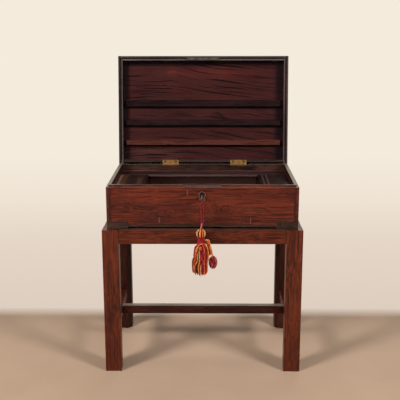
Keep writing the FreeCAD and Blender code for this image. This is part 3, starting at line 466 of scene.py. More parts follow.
# Name, dark and light tone of each silk
SILKS = {
    "crimson": ("crimson_silk", (126, 12, 26), (190, 34, 48)),
    "deep": ("deep_crimson_silk", (52, 8, 8), (98, 20, 18)),
    "rose": ("rose_silk", (192, 70, 78), (236, 124, 118)),
    "orange": ("orange_silk", (208, 88, 30), (246, 138, 64)),
    "coral": ("coral_silk", (176, 48, 28), (226, 88, 50)),
    "rust": ("rust_silk", (118, 36, 10), (176, 72, 22)),
    "gold": ("gold_silk", (210, 128, 56), (250, 186, 104)),
    "cream": ("cream_silk", (206, 156, 98), (244, 204, 148)),
    "cord": ("crimson_cord_silk", (70, 18, 28), (120, 40, 48)),
}
THREADS = {thread: thread_material(*silk) for thread, silk in SILKS.items()}
TASSEL_X, TASSEL_Y, HEAD_X = -0.0047, -0.206, -0.0038


def in_plane(x, z):
    """A point in the upright plane that the tassel hangs in, from millimetres."""
    return x / 1000, TASSEL_Y, z / 1000


def around(x, radius, angle, height):
    """A point round an upright line at x in the tassel's plane."""
    return Vector((x + radius * cos(angle), TASSEL_Y + radius * sin(angle), height))


CORD_ROUTE = [in_plane(x, z) for x, z in (
    (-4.6, 421.9), (-2.0, 455.0), (-5.6, 493.5), (-5.6, 506.1), (3.6, 506.1), (3.6, 493.5),
    (3.0, 455.0), (-0.2, 421.9))]
CORD_LENGTH, CORD_DIAMETER, CORD_PITCH = 0.1744, 0.004, 0.011
CORD_TONES = ("cord", "cord", "crimson")
PENDANT_ROUTE = [in_plane(x, z) for x, z in (
    (3.5, 392.4), (17.5, 398.4), (20.5, 380.0), (28.6, 348.4))]
PENDANT_LENGTH, PENDANT_DIAMETER, PENDANT_PITCH = 0.0625, 0.0045, 0.022
PENDANT_TONES, PENDANT_START = ("gold", "orange", "cream", "rust"), 2.4


def make_key_cord():
    """The crimson cord that loops through the bow of the key and holds the tassel."""
    line = route_points(CORD_ROUTE)
    build = Builder()
    twist(build, line, CORD_DIAMETER / 2, CORD_PITCH, CORD_TONES)
    cord = build.piece("key_cord_rope", "key_cord", "crimson_cord")


def make_pendant(pompom):
    """The short gold cord of the little pendant, looped out of the tassel's neck."""
    line = route_points(PENDANT_ROUTE)
    build = Builder()
    twist(build, line, PENDANT_DIAMETER / 2, PENDANT_PITCH, PENDANT_TONES, start=PENDANT_START)
    cord = build.piece("pendant_rope", "pendant_cord", "gold_cord")


# ---- tassel

HEAD_CENTRE, HEAD_RADIUS, HEAD_HALF = 0.4129, 0.0127, 0.012
HEAD_FULLNESS, HEAD_TAPER = 2.3, 0.1
HEAD_CORE_STEPS, HEAD_STEPS, CORE_TIP, CORE_FILL = 16, 18, 0.0012, 0.98
# How far up and down its core, its threads and its ring reach
CORE_REACH, WOUND_REACH, RING_HEIGHT = HEAD_HALF * 0.94, HEAD_HALF * 0.965, HEAD_HALF * 0.93
HEAD_THREADS, HEAD_THREAD_RADIUS, HEAD_HOLE = 46, 0.00085, 0.0016
# From which angle, in degrees from the front, each colour of thread is laid
HEAD_BANDS = {-90: "cream", -58: "orange", -48: "deep", -26: "gold", -8: "orange", 3: "deep",
              13: "orange", 29: "rust", 38: "deep", 45: "cream", 90: "cream", 128: "deep",
              150: "gold", 176: "orange", 190: "deep", 202: "orange", 224: "cream", 270: "cream"}
RING_RADIUS, RING_THREAD_RADIUS, RING_STEPS = 0.0026, 0.0009, 20
# A pale thread up the front of the cord above the head, a painted highlight on the cord's twist
CORD_GLINT_THREAD = ((-4.4, -208.2, 423.6), (-4.0, -209.2, 428), (-2.6, -209.0, 434),
                (-1.0, -208.4, 440.5))
CORD_GLINT_RADIUS = 0.0007


def head_radius(height):
    """Radius of the tassel's head at a height from its middle: an acorn, fuller below."""
    share = max(-1.0, min(1.0, height / HEAD_HALF))
    fullness = sqrt(max(0.0, 1 - abs(share) ** HEAD_FULLNESS))
    return HEAD_RADIUS * fullness * (1 - HEAD_TAPER * share)


def wind_head(build):
    """Threads laid over the head's core from top to bottom, in bands of colour."""
    rng = random.Random(11)
    for number in range(HEAD_THREADS):
        angle = 360 * number / HEAD_THREADS - 90
        name = [colour for start, colour in HEAD_BANDS.items() if start <= angle][-1]
        turn = radians(angle)
        wobble = rng.uniform(-0.02, 0.02)
        centres, radii = [], []
        for share in shares(HEAD_STEPS):
            bulge = sin(pi * share)
            height = WOUND_REACH * cos(pi * share)
            radius = max(HEAD_HOLE, head_radius(height) - HEAD_THREAD_RADIUS)
            swing = turn + wobble + 0.03 * bulge
            x, y = HEAD_X + radius * sin(swing), TASSEL_Y - radius * cos(swing)
            centres.append(Vector((x, y, HEAD_CENTRE + height)))
            radii.append(HEAD_THREAD_RADIUS * (0.45 + 0.6 * bulge))
        build.tube(centres, radii, 6, name)


def make_head():
    """The wound head, with a ring at the cord and a pale thread that runs up it as a painted
    highlight.
    """
    build = Builder()
    levels = [CORE_REACH * sin(pi * (share - 0.5)) for share in shares(HEAD_CORE_STEPS)]
    core = [(max(CORE_TIP, (head_radius(level) - HEAD_HOLE) * CORE_FILL), level)
            for level in levels]
    build.lathe(core, (HEAD_X, TASSEL_Y, HEAD_CENTRE), 32, "rust")
    wind_head(build)
    ring = [around(HEAD_X, RING_RADIUS, tau * share, HEAD_CENTRE + RING_HEIGHT)
            for share in shares(RING_STEPS)]
    build.tube(ring, RING_THREAD_RADIUS, 6, "cord")
    glint_line = smooth_line([Vector(mm(*point)) for point in CORD_GLINT_THREAD], 5)
    build.tube(glint_line, CORD_GLINT_RADIUS, 6, "cream")
    build.piece("tassel_wound_head", "tassel_head", "gold_thread")


NECK_TOP, NECK_BOTTOM, NECK_RADIUS = 0.4029, 0.3869, 0.0097
NECK_LENGTH = NECK_TOP - NECK_BOTTOM
NECK_MIDDLE = 0.39
# How far the neck's core lies within its radius, and at which height
NECK_CORE = ((0.0022, NECK_BOTTOM + 0.0005), (0.0026, 0.395), (0.0022, NECK_TOP - 0.0005))
NECK_TURNS, NECK_TURN_STEPS, NECK_THREAD_RADIUS = 9, 26, 0.00095
NECK_CROSSINGS, NECK_CROSSING_STEPS, NECK_CROSSING_RADIUS = 7, 14, 0.0008


def wind_neck(build):
    """One thread wound down the neck, slightly uneven and tilted, with a slight waist."""
    centres = []
    for share in shares(NECK_TURNS * NECK_TURN_STEPS):
        angle = tau * NECK_TURNS * share
        height = NECK_TOP - 0.0012 - (NECK_LENGTH - 0.0024) * share
        waist = 0.0008 * sin(pi * share)
        radius = NECK_RADIUS - NECK_THREAD_RADIUS - waist + 0.00018 * sin(angle * 1.7)
        tilt = 0.0009 * sin(angle)
        centres.append(around(HEAD_X, radius, angle, height + tilt))
    build.tube(centres, NECK_THREAD_RADIUS, 7, "crimson")


def cross_neck(build):
    """A few threads that cross the winding in front, leaning both ways."""
    rng = random.Random(5)
    for _ in range(NECK_CROSSINGS):
        start = rng.uniform(-1.0, 1.0)
        lean = rng.choice((-1, 1)) * rng.uniform(0.7, 1.3)
        centres = []
        for share in shares(NECK_CROSSING_STEPS):
            angle = start + lean * (share - 0.5) - pi / 2
            radius = NECK_RADIUS - 0.0002 - 0.0008 * sin(pi * share)
            height = NECK_TOP - 0.0006 - NECK_LENGTH * share * 0.96
            centres.append(around(HEAD_X, radius, angle, height))
        tone = rng.choice(("crimson", "crimson", "deep"))
        build.tube(centres, NECK_CROSSING_RADIUS, 6, tone)


def make_neck():
    """The crimson binding round the neck."""
    build = Builder()
    core = [(NECK_RADIUS - within, height - NECK_MIDDLE) for within, height in NECK_CORE]
    build.lathe(core, (HEAD_X, TASSEL_Y, NECK_MIDDLE), 28, "deep")
    wind_neck(build)
    cross_neck(build)
    build.piece("tassel_bound_neck", "tassel_neck", "crimson_thread")


SKIRT_TOP, SKIRT_BOTTOM, SKIRT_RADIUS = 0.3869, 0.2999, 0.0222
SKIRT_FLARE = 0.034
# The skirt's hidden layers: strands, reach as a share of its radius, thread in mm, colours
SKIRT_LAYERS = ((14, 0.42, 1.6, ("deep", "deep", "crimson")),
                (22, 0.66, 1.5, ("deep", "crimson", "deep", "rust")),
                (26, 0.86, 1.4, ("coral", "deep", "crimson", "orange", "crimson", "rust")))
SKIRT_STEPS = 12
# Down to which share of its length the skirt stays gathered, and how wide it is there
SKIRT_GATHERED, SKIRT_GATHERED_RADIUS = 0.12, 0.0082
# The strands in front and at the side: colour, radius, and X and Z in turn, in millimetres
FRONT_STRANDS = (
    ("deep", 1.8, -8, 384, -17, 374, -20.5, 361, -21, 349, -24, 338, -25, 326, -23.5, 308),
    ("coral", 1.7, -6, 387, -15, 382, -20.4, 373, -22, 361, -22.8, 350, -26, 341, -27, 328,
     -26, 309),
    ("crimson", 1.7, -6, 386, -14, 378, -19.5, 366, -21, 354, -24, 344, -26, 332, -24.5, 318,
     -25, 306),
    ("orange", 1.8, -4, 386, -10.5, 382, -16.5, 372, -18.5, 360, -19, 348, -21.5, 338, -23, 326,
     -21.5, 305),
    ("rust", 1.6, -8, 384, -12, 370, -15.5, 358, -16.5, 346, -18.5, 334, -19, 320, -18.5, 303),
    ("deep", 1.6, -6, 384, -10, 370, -10.5, 356, -11, 342, -14.5, 328, -13, 304),
    ("crimson", 1.7, -5, 386, -5.5, 372, -5, 360, -3.5, 348, -5, 334, -8, 320, -6.5, 302),
    ("coral", 2.0, 0, 387, 2, 379, 5, 371, 4, 360, 6, 348, 3.5, 337, 5, 322, 3.8, 303),
    ("deep", 1.7, -3, 384, -0.5, 368, 2.6, 356, 2.2, 344, 0, 332, 1.6, 316, 0.8, 306),
    ("crimson", 1.7, -2, 387, -1.6, 372, 0.6, 361, -1.4, 349, 0.4, 337, -1.8, 322, -0.6, 302),
    ("rust", 1.4, 2, 386, 7, 378, 9.4, 368, 9.8, 356, 8, 344, 9.6, 330, 8, 308),
    ("crimson", 1.7, 4, 386, 10, 377, 12.8, 365, 12.8, 350, 10.8, 338, 11, 322, 9.5, 304),
    ("orange", 1.6, 4, 385, 10.4, 376, 13.6, 365, 15.2, 353, 14, 342, 12.2, 334, 12.8, 320,
     11.6, 307),
    ("gold", 1.4, 6, 386, 12, 376, 15.4, 365, 17.2, 353, 16, 342, 13.8, 332, 14, 320, 12.6, 306),
    ("gold", 1.5, 5.3, 385, -1, 386, -7.2, 383, -13, 376, -15, 368, -12.8, 354, -12.5, 346,
     -16.1, 335, -22, 322, -25.5, 313),
    ("gold", 1.3, -4.5, 377.5, -7.6, 375.6, -8.6, 368, -7.4, 353, -8.1, 338.5, -10.8, 324, -9, 305),
    ("gold", 1.1, 4, 342, 5.8, 334, 5.2, 324, 6.4, 312, 5.4, 301),
    ("cream", 1.0, -3.6, 379, -3, 376, -4.4, 374, -3, 371.5),
    ("rose", 1.0, -3.4, 352, 1.5, 345, 5, 343, 1, 338, -3, 333),
    ("cream", 1.1, -3.4, 330, -4.8, 318, -4.2, 308, -4.6, 299),
)
SIDE_STRANDS = (
    ("crimson", 1.8, 3, 388.5, 9.5, 386, 15, 375, 17.6, 363, 19, 351),
    ("rust", 1.8, 3, 391, 10.4, 389.5, 16, 380, 19, 367, 21.4, 353),
    ("orange", 1.4, 4, 392, 12.4, 392.5, 18, 381, 21.4, 366, 24, 351),
)


def skirt_reach(height):
    """Radius of the hanging skirt at a height, close to the solid it stands for."""
    share = min(1.0, max(0.0, (SKIRT_TOP - height) / SKIRT_FLARE))
    return NECK_RADIUS + (SKIRT_RADIUS - NECK_RADIUS) * share ** 0.75


def skirt_strand(build, line, thin, tone, start):
    """A strand of two plies along a smooth line."""
    radius = thin / 1000
    twist(build, line, radius, radius * 6.0, [tone, tone], 6, start)


def layer_strand(rng, place, count, reach):
    """A hidden strand's points, drifting round and swaying on its way down, and its phase."""
    angle = tau * (place + rng.uniform(-0.3, 0.3)) / count
    drift, phase = rng.uniform(-0.35, 0.35), rng.uniform(0, tau)
    waves, sway = rng.uniform(1.5, 3.2), rng.uniform(0.05, 0.13)
    end = SKIRT_BOTTOM + 0.002 + rng.uniform(0, 0.011) * reach
    points = []
    for share in shares(SKIRT_STEPS):
        height = SKIRT_TOP + 0.001 - (SKIRT_TOP + 0.001 - end) * share
        wave = sin(tau * waves * share + phase)
        radius = skirt_reach(height) * (reach + 0.05 * wave) - 0.0012
        if share < SKIRT_GATHERED:
            radius = min(radius, SKIRT_GATHERED_RADIUS)
        turn = angle + drift * share + sway * wave * share
        points.append(around(TASSEL_X, radius, turn, height))
    return points, phase


def in_pairs(route):
    """Each X with the Z that follows it."""
    return zip(route[::2], route[1::2])


def front_points(route):
    """A strand's points, laid on the front of the skirt."""
    points = []
    for x, z in in_pairs(route):
        reach = skirt_reach(z / 1000) - 0.0006
        across = x / 1000 - TASSEL_X
        ahead = sqrt(max(reach ** 2 - across ** 2, (0.2 * reach) ** 2))
        points.append(Vector((x / 1000, TASSEL_Y - ahead, z / 1000)))
    return points


def make_skirt():
    """The skirt: strands in layers, wavy and of uneven length, and the free ones in front."""
    build = Builder()
    rng = random.Random(29)
    for count, reach, thin, names in SKIRT_LAYERS:
        for place in range(count):
            points, phase = layer_strand(rng, place, count, reach)
            skirt_strand(build, smooth_line(points, 3), thin, rng.choice(names), phase)
    for name, thin, *route in FRONT_STRANDS:
        line = smooth_line(front_points(route), 5)
        skirt_strand(build, line, thin, name, rng.uniform(0, 6))
    for name, thin, *route in SIDE_STRANDS:
        points = [Vector((x / 1000, TASSEL_Y + 0.001, z / 1000)) for x, z in in_pairs(route)]
        skirt_strand(build, smooth_line(points, 5), thin, name, rng.uniform(0, 6))
    build.piece("tassel_strands", "tassel_skirt", "orange_thread")


POMPOM_CENTRE, POMPOM_RADIUS, POMPOM_HALF = Vector(in_plane(28.6, 331.9)), 0.0123, 0.018
POMPOM_CORE_STEPS = 14
POMPOM_CAP = ((0.0016, 0.0), (0.0032, -0.0012), (0.0042, -0.004), (0.0036, -0.0055))
TUFTS, TUFT_STEPS, TUFT_RADIUS, TUFT_REACH = 250, 5, 0.00085, 0.34
TUFT_TONES = ("crimson", "deep", "crimson", "crimson", "rose", "deep")
GOLDEN_ANGLE = 2.39996
# How near to the pompom's ends its tufts come, and where its side turns rose
POMPOM_END, ROSE_SIDE = 0.985, 0.6


def lay_tufts(build):
    """Tufts all round the pompom, on a spiral, standing out further towards their lower ends."""
    rng = random.Random(17)
    for number in range(TUFTS):
        height = 0.97 - 1.8 * (number + 0.5) / TUFTS
        angle = number * GOLDEN_ANGLE + rng.uniform(-0.1, 0.1)
        top = min(POMPOM_END, height + 0.16)
        curl, stand = rng.uniform(-0.25, 0.25), rng.uniform(0.9, 1.0)
        centres, radii = [], []
        for share in shares(TUFT_STEPS):
            level = max(-POMPOM_END, top - TUFT_REACH * share)
            radius = POMPOM_RADIUS * sqrt(max(0.02, 1 - level ** 2))
            radius *= (0.7 + 0.3 * share * stand) - 0.02
            turn = angle + curl * share
            x, y = radius * cos(turn), radius * sin(turn)
            centres.append(POMPOM_CENTRE + Vector((x, y, POMPOM_HALF * level)))
            radii.append(TUFT_RADIUS * (1 - 0.45 * share))
        name = rng.choice(TUFT_TONES)
        if cos(angle) > ROSE_SIDE and number % 3:
            name = "rose"
        build.tube(centres, radii, 5, name)


def make_pompom():
    """The pendant's small cut tassel: short curved tufts that hide a core, under a gold cap."""
    build = Builder()
    turns = [pi * (share - 0.5) for share in shares(POMPOM_CORE_STEPS)]
    core = [(max(0.001, POMPOM_RADIUS * 0.74 * cos(turn)),
             POMPOM_HALF * 0.86 * sin(turn)) for turn in turns]
    build.lathe(core, POMPOM_CENTRE, 24, "deep")
    lay_tufts(build)
    top = POMPOM_CENTRE + Vector((0, 0, POMPOM_HALF - 0.0004))
    build.lathe(POMPOM_CAP, top, 16, "gold")
    return build.piece("pendant_tufts", "pendant_pompom", "pompom_thread")


# ---- wood

LID_PIN, LID_OPEN = mm(0, 165, 529.65), radians(98)
SEED_SHIFT = Vector((1.37, 0.71, 0.43))
# The wood's noises: scale along the grain, scale across it, octaves, strength of the fine ones
BEND, CLOUD = (3.2, 9.0, 2.0, 0.5), (5.0, 11.0, 3.0, 0.5)
BROAD, LINES, THIN = (3.5, 38.0, 4.0, 0.55), (4.5, 205.0, 2.0, 0.5), (9.0, 380.0, 2.0, 0.5)
FINE, PORES = (34.0, 900.0, 2.0, 0.5), (95.0, 1900.0, 1.0, 0.5)
BEND_REACH = 0.05
DARK_BELOW, LIGHT_ABOVE = 0.14, 0.15
# How strongly lines, bright streaks and pores show, and how light or dark the last two are
LINE_SHARE, STREAK_SHARE, PORE_SHARE, STREAK_LIGHT, PORE_DARK = 0.75, 0.55, 0.45, 1.35, 0.35
# Between which levels of a noise each mark fades in
LINE_EDGE, STREAK_EDGE, PORE_EDGE, PATCH_EDGE = (0.56, 0.64), (0.36, 0.44), (0.6, 0.7), (0.4, 0.62)
CHIP_EDGE, BAND_EDGE, WEAR_AND_SHEEN_EDGE = (0.5, 0.54), (0.3, 0.55), (0.25, 0.6)
# Between which cosines to its direction a face counts as turned to it
FACING_BAND, FACING_UP = (0.5, 0.8), (0.5, 0.85)
CHIP_SCALE, PLUG_GRAIN = 420.0, (620.0, 620.0, 40.0)
# Tones of the painted shade on the inner side of the box's sides
INNER_SHADE_DARK, INNER_SHADE_LIGHT = rgb(24, 14, 14), rgb(60, 34, 28)
# The middle tone is the paleness of wear with painted sheen, on faces that look up
CHIPPED, WEAR_AND_SHEEN_TONE, PLUG_JOINT = rgb(150, 138, 126), rgb(150, 136, 122), rgb(146, 98, 78)


def rest_place(tree, axis, output="Object"):
    """Object coordinates or normals; those of the lid are turned back to the closed lid."""
    place = tree.place(output)
    if not axis.startswith("lid"):
        return place
    centre = LID_PIN if output == "Object" else (0, 0, 0)
    node = tree.add("VectorRotate", {"Vector": place, "Center": centre, "Angle": LID_OPEN},
                    rotation_type="X_AXIS")
    return node.outputs[0]


def grain_place(tree, place, axis, seed):
    """Coordinates turned so that the grain runs along X, and moved by a seed."""
    turns = {"y": "Z_AXIS", "z": "Y_AXIS"}
    if axis[-1] in turns:
        turn = tree.add("VectorRotate", {"Vector": place, "Angle": pi / 2},
                        rotation_type=turns[axis[-1]])
        place = turn.outputs[0]
    return tree.vector("ADD", place, seed * SEED_SHIFT)


def soft_patch(tree, place, centre, reach, edge=0.35):
    """1 inside an oval patch and 0 outside it, fading from a share of its reach."""
    away = tree.vector("DIVIDE", tree.vector("SUBTRACT", place, mm(*centre)), mm(*reach))
    return tree.spread(tree.vector("LENGTH", away), edge, 1.0, 1.0, 0.0)


def scaled(colour, factor):
    """A colour made brighter or darker."""
    return (*(part * factor for part in colour[:3]), 1.0)


def bent_grain(tree, rest, place, swirls, lean, sway):
    """The grain's coordinates, moved across it where the figure bends, swirls or leans."""
    bend = tree.minus(tree.drawn_noise(place, *BEND), 0.5)
    swing = tree.times(bend, BEND_REACH)
    for centre, reach, amount in swirls:
        swirl = tree.times(soft_patch(tree, rest, centre, reach, 0.0), amount / 1000)
        swing = tree.math("ADD", swing, swirl)
    slope, start = lean
    if slope:
        beyond = tree.minus(tree.along(rest, X), start / 1000)
        slide = tree.times(tree.math("MAXIMUM", beyond, 0.0), slope)
        swing = tree.minus(swing, slide)
    shift = tree.add("CombineXYZ", {1: tree.times(swing, sway[0]), 2: tree.times(swing, sway[1])})
    return tree.vector("ADD", place, shift.outputs[0])


def add_patches(tree, rest, broad, lines, colour, patches):
    """Patches of another colour, broken up by the grain."""
    for patch_colour, strength, centre, reach in patches:
        grain = tree.spread(tree.total((broad, 0.5), (lines, 0.5)), *PATCH_EDGE)
        inside = tree.times(soft_patch(tree, rest, centre, reach), grain)
        colour = tree.mix(tree.times(inside, strength), colour, rgb(*patch_colour))
    return colour


def add_inner_shade(tree, rest, lines, colour, inner):
    """Painted shade inside the box: darker wood nearer to the middle than a side's inner face."""
    across = tree.math("ABSOLUTE", tree.along(rest, X))
    inside = tree.spread(across, inner - 0.0004, inner, 0.85, 0.0)
    return tree.mix(inside, colour, tree.mix(lines, INNER_SHADE_DARK, INNER_SHADE_LIGHT))


def add_plug(tree, rest, colour, centre, half, dark, light):
    """A small upright let-in repair: other grain between a dark and a light upright joint."""
    split = tree.add("SeparateXYZ", {0: tree.vector("SUBTRACT", rest, mm(*centre))})
    across = split.outputs["X"]
    edge = tree.minus(tree.math("ABSOLUTE", across), half[0] / 1000)
    along = tree.minus(tree.math("ABSOLUTE", split.outputs["Z"]), half[1] / 1000)
    within = tree.spread(along, -0.001, 0.0, 1.0, 0.0)
    inside = tree.times(tree.spread(edge, -0.0006, 0.0, 0.5, 0.0), within)
    grain = tree.noise(tree.vector("MULTIPLY", rest, PLUG_GRAIN), 1.0, 2.0)
    colour = tree.mix(inside, colour, tree.mix(grain, dark, light))
    gap = tree.spread(tree.math("ABSOLUTE", edge), 0.0006, 0.0014, 0.55, 0.0)
    side = tree.spread(across, -0.001, 0.001)
    return tree.mix(tree.times(gap, within), colour, tree.mix(side, dark, PLUG_JOINT))


def add_bands(tree, rest, normal, cloud, colour, bands, band_face):
    """Soft straight lines of another tone, uneven along their length."""
    shown = tree.spread(tree.along(normal, band_face), *FACING_BAND) if band_face else 1.0
    for direction, place, half, strength, band_colour in bands:
        away = tree.minus(tree.along(rest, direction), place / 1000)
        line = tree.spread(tree.math("ABSOLUTE", away), half / 2000, half / 1000, strength, 0.0)
        line = tree.times(line, tree.spread(cloud, *BAND_EDGE, 0.4, 1.0))
        colour = tree.mix(tree.times(line, shown), colour, rgb(*band_colour))
    return colour


def add_chips(tree, rest, colour, chips):
    """Pale specks where an edge is chipped."""
    for centre, reach in chips:
        speck = tree.spread(tree.noise(rest, CHIP_SCALE, 2.0), *CHIP_EDGE)
        inside = tree.times(soft_patch(tree, rest, centre, reach, 0.8), speck)
        colour = tree.mix(inside, colour, CHIPPED)
    return colour


def add_wear_and_sheen(tree, normal, cloud, colour, worn, up):
    """Faces that look up, unevenly paler: partly wear, partly painted sheen of the pale room."""
    facing = tree.spread(tree.along(normal, up), *FACING_UP)
    wear_and_sheen_mask = tree.times(facing, tree.spread(cloud, *WEAR_AND_SHEEN_EDGE, 0.45, 1.0))
    return tree.mix(tree.times(wear_and_sheen_mask, worn), colour, WEAR_AND_SHEEN_TONE)


def wood_material(name, axis, seed, tones, roughness=0.27, specular=0.25, streak=1.0, lean=(0, 0),
                  sway=(1, 1), swirls=(), patches=(), inner=0.0, plugs=(), bands=(),
                  band_face=None, chips=(), worn=0.0, up=Z):
    """Polished wood: long figure, dark lines, pores, lighter places, wear with painted sheen, soft
    gloss.
    """
    material, tree, surface = new_material(name)
    dark, middle, light = (rgb(*tone) for tone in tones)
    rest, normal = rest_place(tree, axis), rest_place(tree, axis, "Normal")
    place = grain_place(tree, rest, axis, seed)
    cloud = tree.drawn_noise(place, *CLOUD)
    grain = bent_grain(tree, rest, place, swirls, lean, sway)
    broad, lines, thin, fine, pores = (tree.drawn_noise(grain, *size)
                                       for size in (BROAD, LINES, THIN, FINE, PORES))
    pores = tree.spread(pores, *PORE_EDGE)
    parts = ((broad, 0.42), (lines, 0.62 * streak), (thin, 0.45 * streak), (fine, 0.1),
             (cloud, 0.3))
    centre = sum(weight for _, weight in parts) / 2
    stops = [(centre - DARK_BELOW, dark), (centre, middle), (centre + LIGHT_ABOVE, light)]
    colour = tree.ramp(tree.total(*parts), stops)
    colour = add_patches(tree, rest, broad, lines, colour, patches)
    # Painted shade on the inner faces of the box's sides
    if inner:
        colour = add_inner_shade(tree, rest, lines, colour, inner)
    line_mask = tree.spread(lines, *LINE_EDGE)
    colour = tree.mix(tree.times(line_mask, LINE_SHARE * streak), colour, dark)
    streaks = tree.spread(thin, *STREAK_EDGE, STREAK_SHARE * streak, 0.0)
    colour = tree.mix(streaks, colour, scaled(light, STREAK_LIGHT))
    colour = tree.mix(tree.times(pores, PORE_SHARE), colour, scaled(dark, PORE_DARK))
    for plug in plugs:
        colour = add_plug(tree, rest, colour, *plug, dark, light)
    colour = add_bands(tree, rest, normal, cloud, colour, bands, band_face)
    colour = add_chips(tree, rest, colour, chips)
    # Wear and painted sheen on faces that look up
    if worn:
        colour = add_wear_and_sheen(tree, normal, cloud, colour, worn, up)
    gloss = tree.math("ADD", tree.spread(cloud, 0.3, 0.7, roughness - 0.05, roughness + 0.09),
                      tree.times(pores, 0.15))
    tree.fill(surface, {"Base Color": colour, "Roughness": gloss, "Specular IOR Level": specular})
    height = tree.minus(tree.times(lines, 0.6), tree.times(pores, 0.5))
    tree.bump(surface, height, 0.22, 0.0004)
    return material


# What the boards' materials add to their wood. Places and sizes are millimetres in the closed desk.
# bands: direction, place along it, half width, strength and colour, on faces turned to band_face
# patches: colour, strength, centre, reach      swirls: centre, reach, how far the grain is pushed
# plugs: centre, half size      chips: centre, reach      lean: the grain's slope, and from which X
# sway: how far bends move the grain across itself, in two directions; inner is in metres
# The last of these tones is the painted shadow on the lid's panel
RED_STREAK, PURPLE, PAINTED_SHADOW = (112, 48, 42), (48, 24, 34), (20, 12, 15)
# Tones of painted highlights along edges, and of grey painted reflection on the lid's rims
PAINTED_HIGHLIGHT, PAINTED_REFLECTION = (124, 98, 88), (118, 110, 110)
# On the back wall's inner face, a pale band under the shelf is painted light where little light
# reaches
BACK_DETAIL = dict(band_face=(0, -1, 0), bands=((Z, 450, 62, 0.85, (170, 120, 108)),))
FRONT_DETAIL = dict(
    worn=0.7,
    patches=((PURPLE, 0.65, (-120, -165, 446), (62, 40, 26)),
             # The dark oval behind the lock plate is a painted shadow
             ((24, 11, 8), 1.0, (-1, -165, 503.5), (17, 20, 22)),
             ((120, 46, 30), 0.6, (150, -165, 500), (110, 40, 26)),
             ((118, 46, 28), 0.5, (-150, -165, 505), (90, 40, 22))),
    swirls=(((62, -165, 466), (52, 60, 22), 26), ((-110, -165, 462), (50, 60, 20), -22)),
    plugs=(((-121, -165, 438), (4.5, 8)), ((125, -165, 437), (5.5, 9)),
           ((-43, -165, 514), (2.5, 8))))
PANEL_DETAIL = dict(
    lean=(0.15, -50), sway=(1, 0), streak=1.35, specular=0.12,
    patches=((RED_STREAK, 0.9, (-96, -120, 562), (26, 20, 40)),
             (RED_STREAK, 0.8, (20, -116, 562), (170, 24, 40)),
             (RED_STREAK, 0.35, (60, -36, 562), (70, 18, 40)),
             ((38, 24, 27), 0.6, (-110, 8, 562), (120, 26, 40)),
             ((36, 22, 24), 0.6, (-30, 70, 562), (180, 28, 40)),
             ((36, 22, 24), 0.4, (40, 128, 562), (120, 24, 40)),
             ((104, 70, 66), 0.8, (-160, 140, 562), (110, 34, 40))),
    swirls=(((-96, -120, 562), (56, 44, 60), 13), ((-92, 0, 562), (40, 26, 60), 11),
            ((-10, 2, 562), (44, 28, 60), -12), ((48, -2, 562), (38, 26, 60), 11),
            ((100, 4, 562), (40, 28, 60), -11)),
    # The panel's bands are painted shadows: under its top wall, along both side walls and under
    # each ledge
    band_face=(0, 0, -1),
    bands=((Y, -146, 13, 0.95, PAINTED_SHADOW), (X, -243, 13, 0.8, (30, 22, 28)),
           (X, 240, 26, 0.8, (30, 22, 27)), (Y, -9.5, 6, 0.8, PAINTED_SHADOW),
           (Y, 49, 6, 0.8, PAINTED_SHADOW), (Y, 109.5, 6, 0.8, PAINTED_SHADOW)))
LID_FRONT_DETAIL = dict(
    specular=0.15, worn=0.1, up=(0, 0, -1), chips=(((-137, -154, 530), (30, 5, 4)),),
    # On its rim, the grey bands are painted reflection and the dark band between them painted shade
    bands=((Y, -163.5, 2, 0.5, PAINTED_REFLECTION), (Y, -158.5, 3, 0.7, (20, 14, 12)),
           (Y, -153.6, 3, 0.7, PAINTED_REFLECTION)))
LID_SIDE_DETAIL = dict(
    specular=0.15, worn=0.06, up=(0, 0, -1),
    # On the rims, the grey bands are painted reflection, the dark ones painted shade, the outer
    # pale one a painted highlight
    bands=((X, -249.6, 2.6, 0.55, PAINTED_REFLECTION), (X, -255, 3, 0.6, (24, 16, 15)),
           (X, 249.2, 2.6, 0.55, PAINTED_REFLECTION), (X, 253, 2.4, 0.7, (28, 14, 15)),
           (X, 258, 2.5, 0.4, PAINTED_HIGHLIGHT)))
LID_BACK_DETAIL = dict(
    specular=0.15, band_face=(0, -0.8, -0.8),
    # Painted light: a broad pale band on the faces that look up and forward in the open lid,
    # painted highlights along edges and a line of painted shade
    bands=((Y, 157, 30, 0.75, (94, 68, 65)),
           (Y, 152.6, 1.5, 0.7, PAINTED_HIGHLIGHT), (Y, 158.4, 1.4, 0.6, PAINTED_HIGHLIGHT),
           (Y, 161.4, 1.6, 0.8, (22, 12, 12)), (Y, 164.4, 1.4, 0.7, PAINTED_HIGHLIGHT)))
SHELF_DETAIL = dict(
    specular=0.06, roughness=0.6,
    # Painted highlights along the shelf's front edge and its back edge
    bands=((Y, 92.8, 1.5, 0.5, PAINTED_HIGHLIGHT), (Y, 149, 7, 1.0, PAINTED_HIGHLIGHT)))
COVER_DETAIL = dict(
    specular=0.1, roughness=0.55,
    patches=(((130, 92, 80), 0.8, (240, -50, 511), (24, 50, 20)),
             ((104, 76, 70), 0.9, (-186, -20, 511), (14, 90, 20))),
    # The palest band, at the left side, is painted light; the two thin lines at the right are
    # painted highlights
    bands=((X, -234, 16, 0.9, (126, 76, 54)),
           (X, -245, 9, 0.8, (206, 166, 152)),
           (X, 176, 3, 0.6, PAINTED_HIGHLIGHT), (X, 188, 3, 0.6, PAINTED_HIGHLIGHT)))
LEG_DETAIL = dict(patches=(((40, 16, 11), 0.85, (0, -155, 10), (600, 80, 230)),))
# Dark, middle and light tone of each wood
STAND = ((52, 18, 12), (84, 32, 19), (116, 50, 28))
LEGS = ((52, 18, 12), (90, 39, 25), (116, 50, 28))
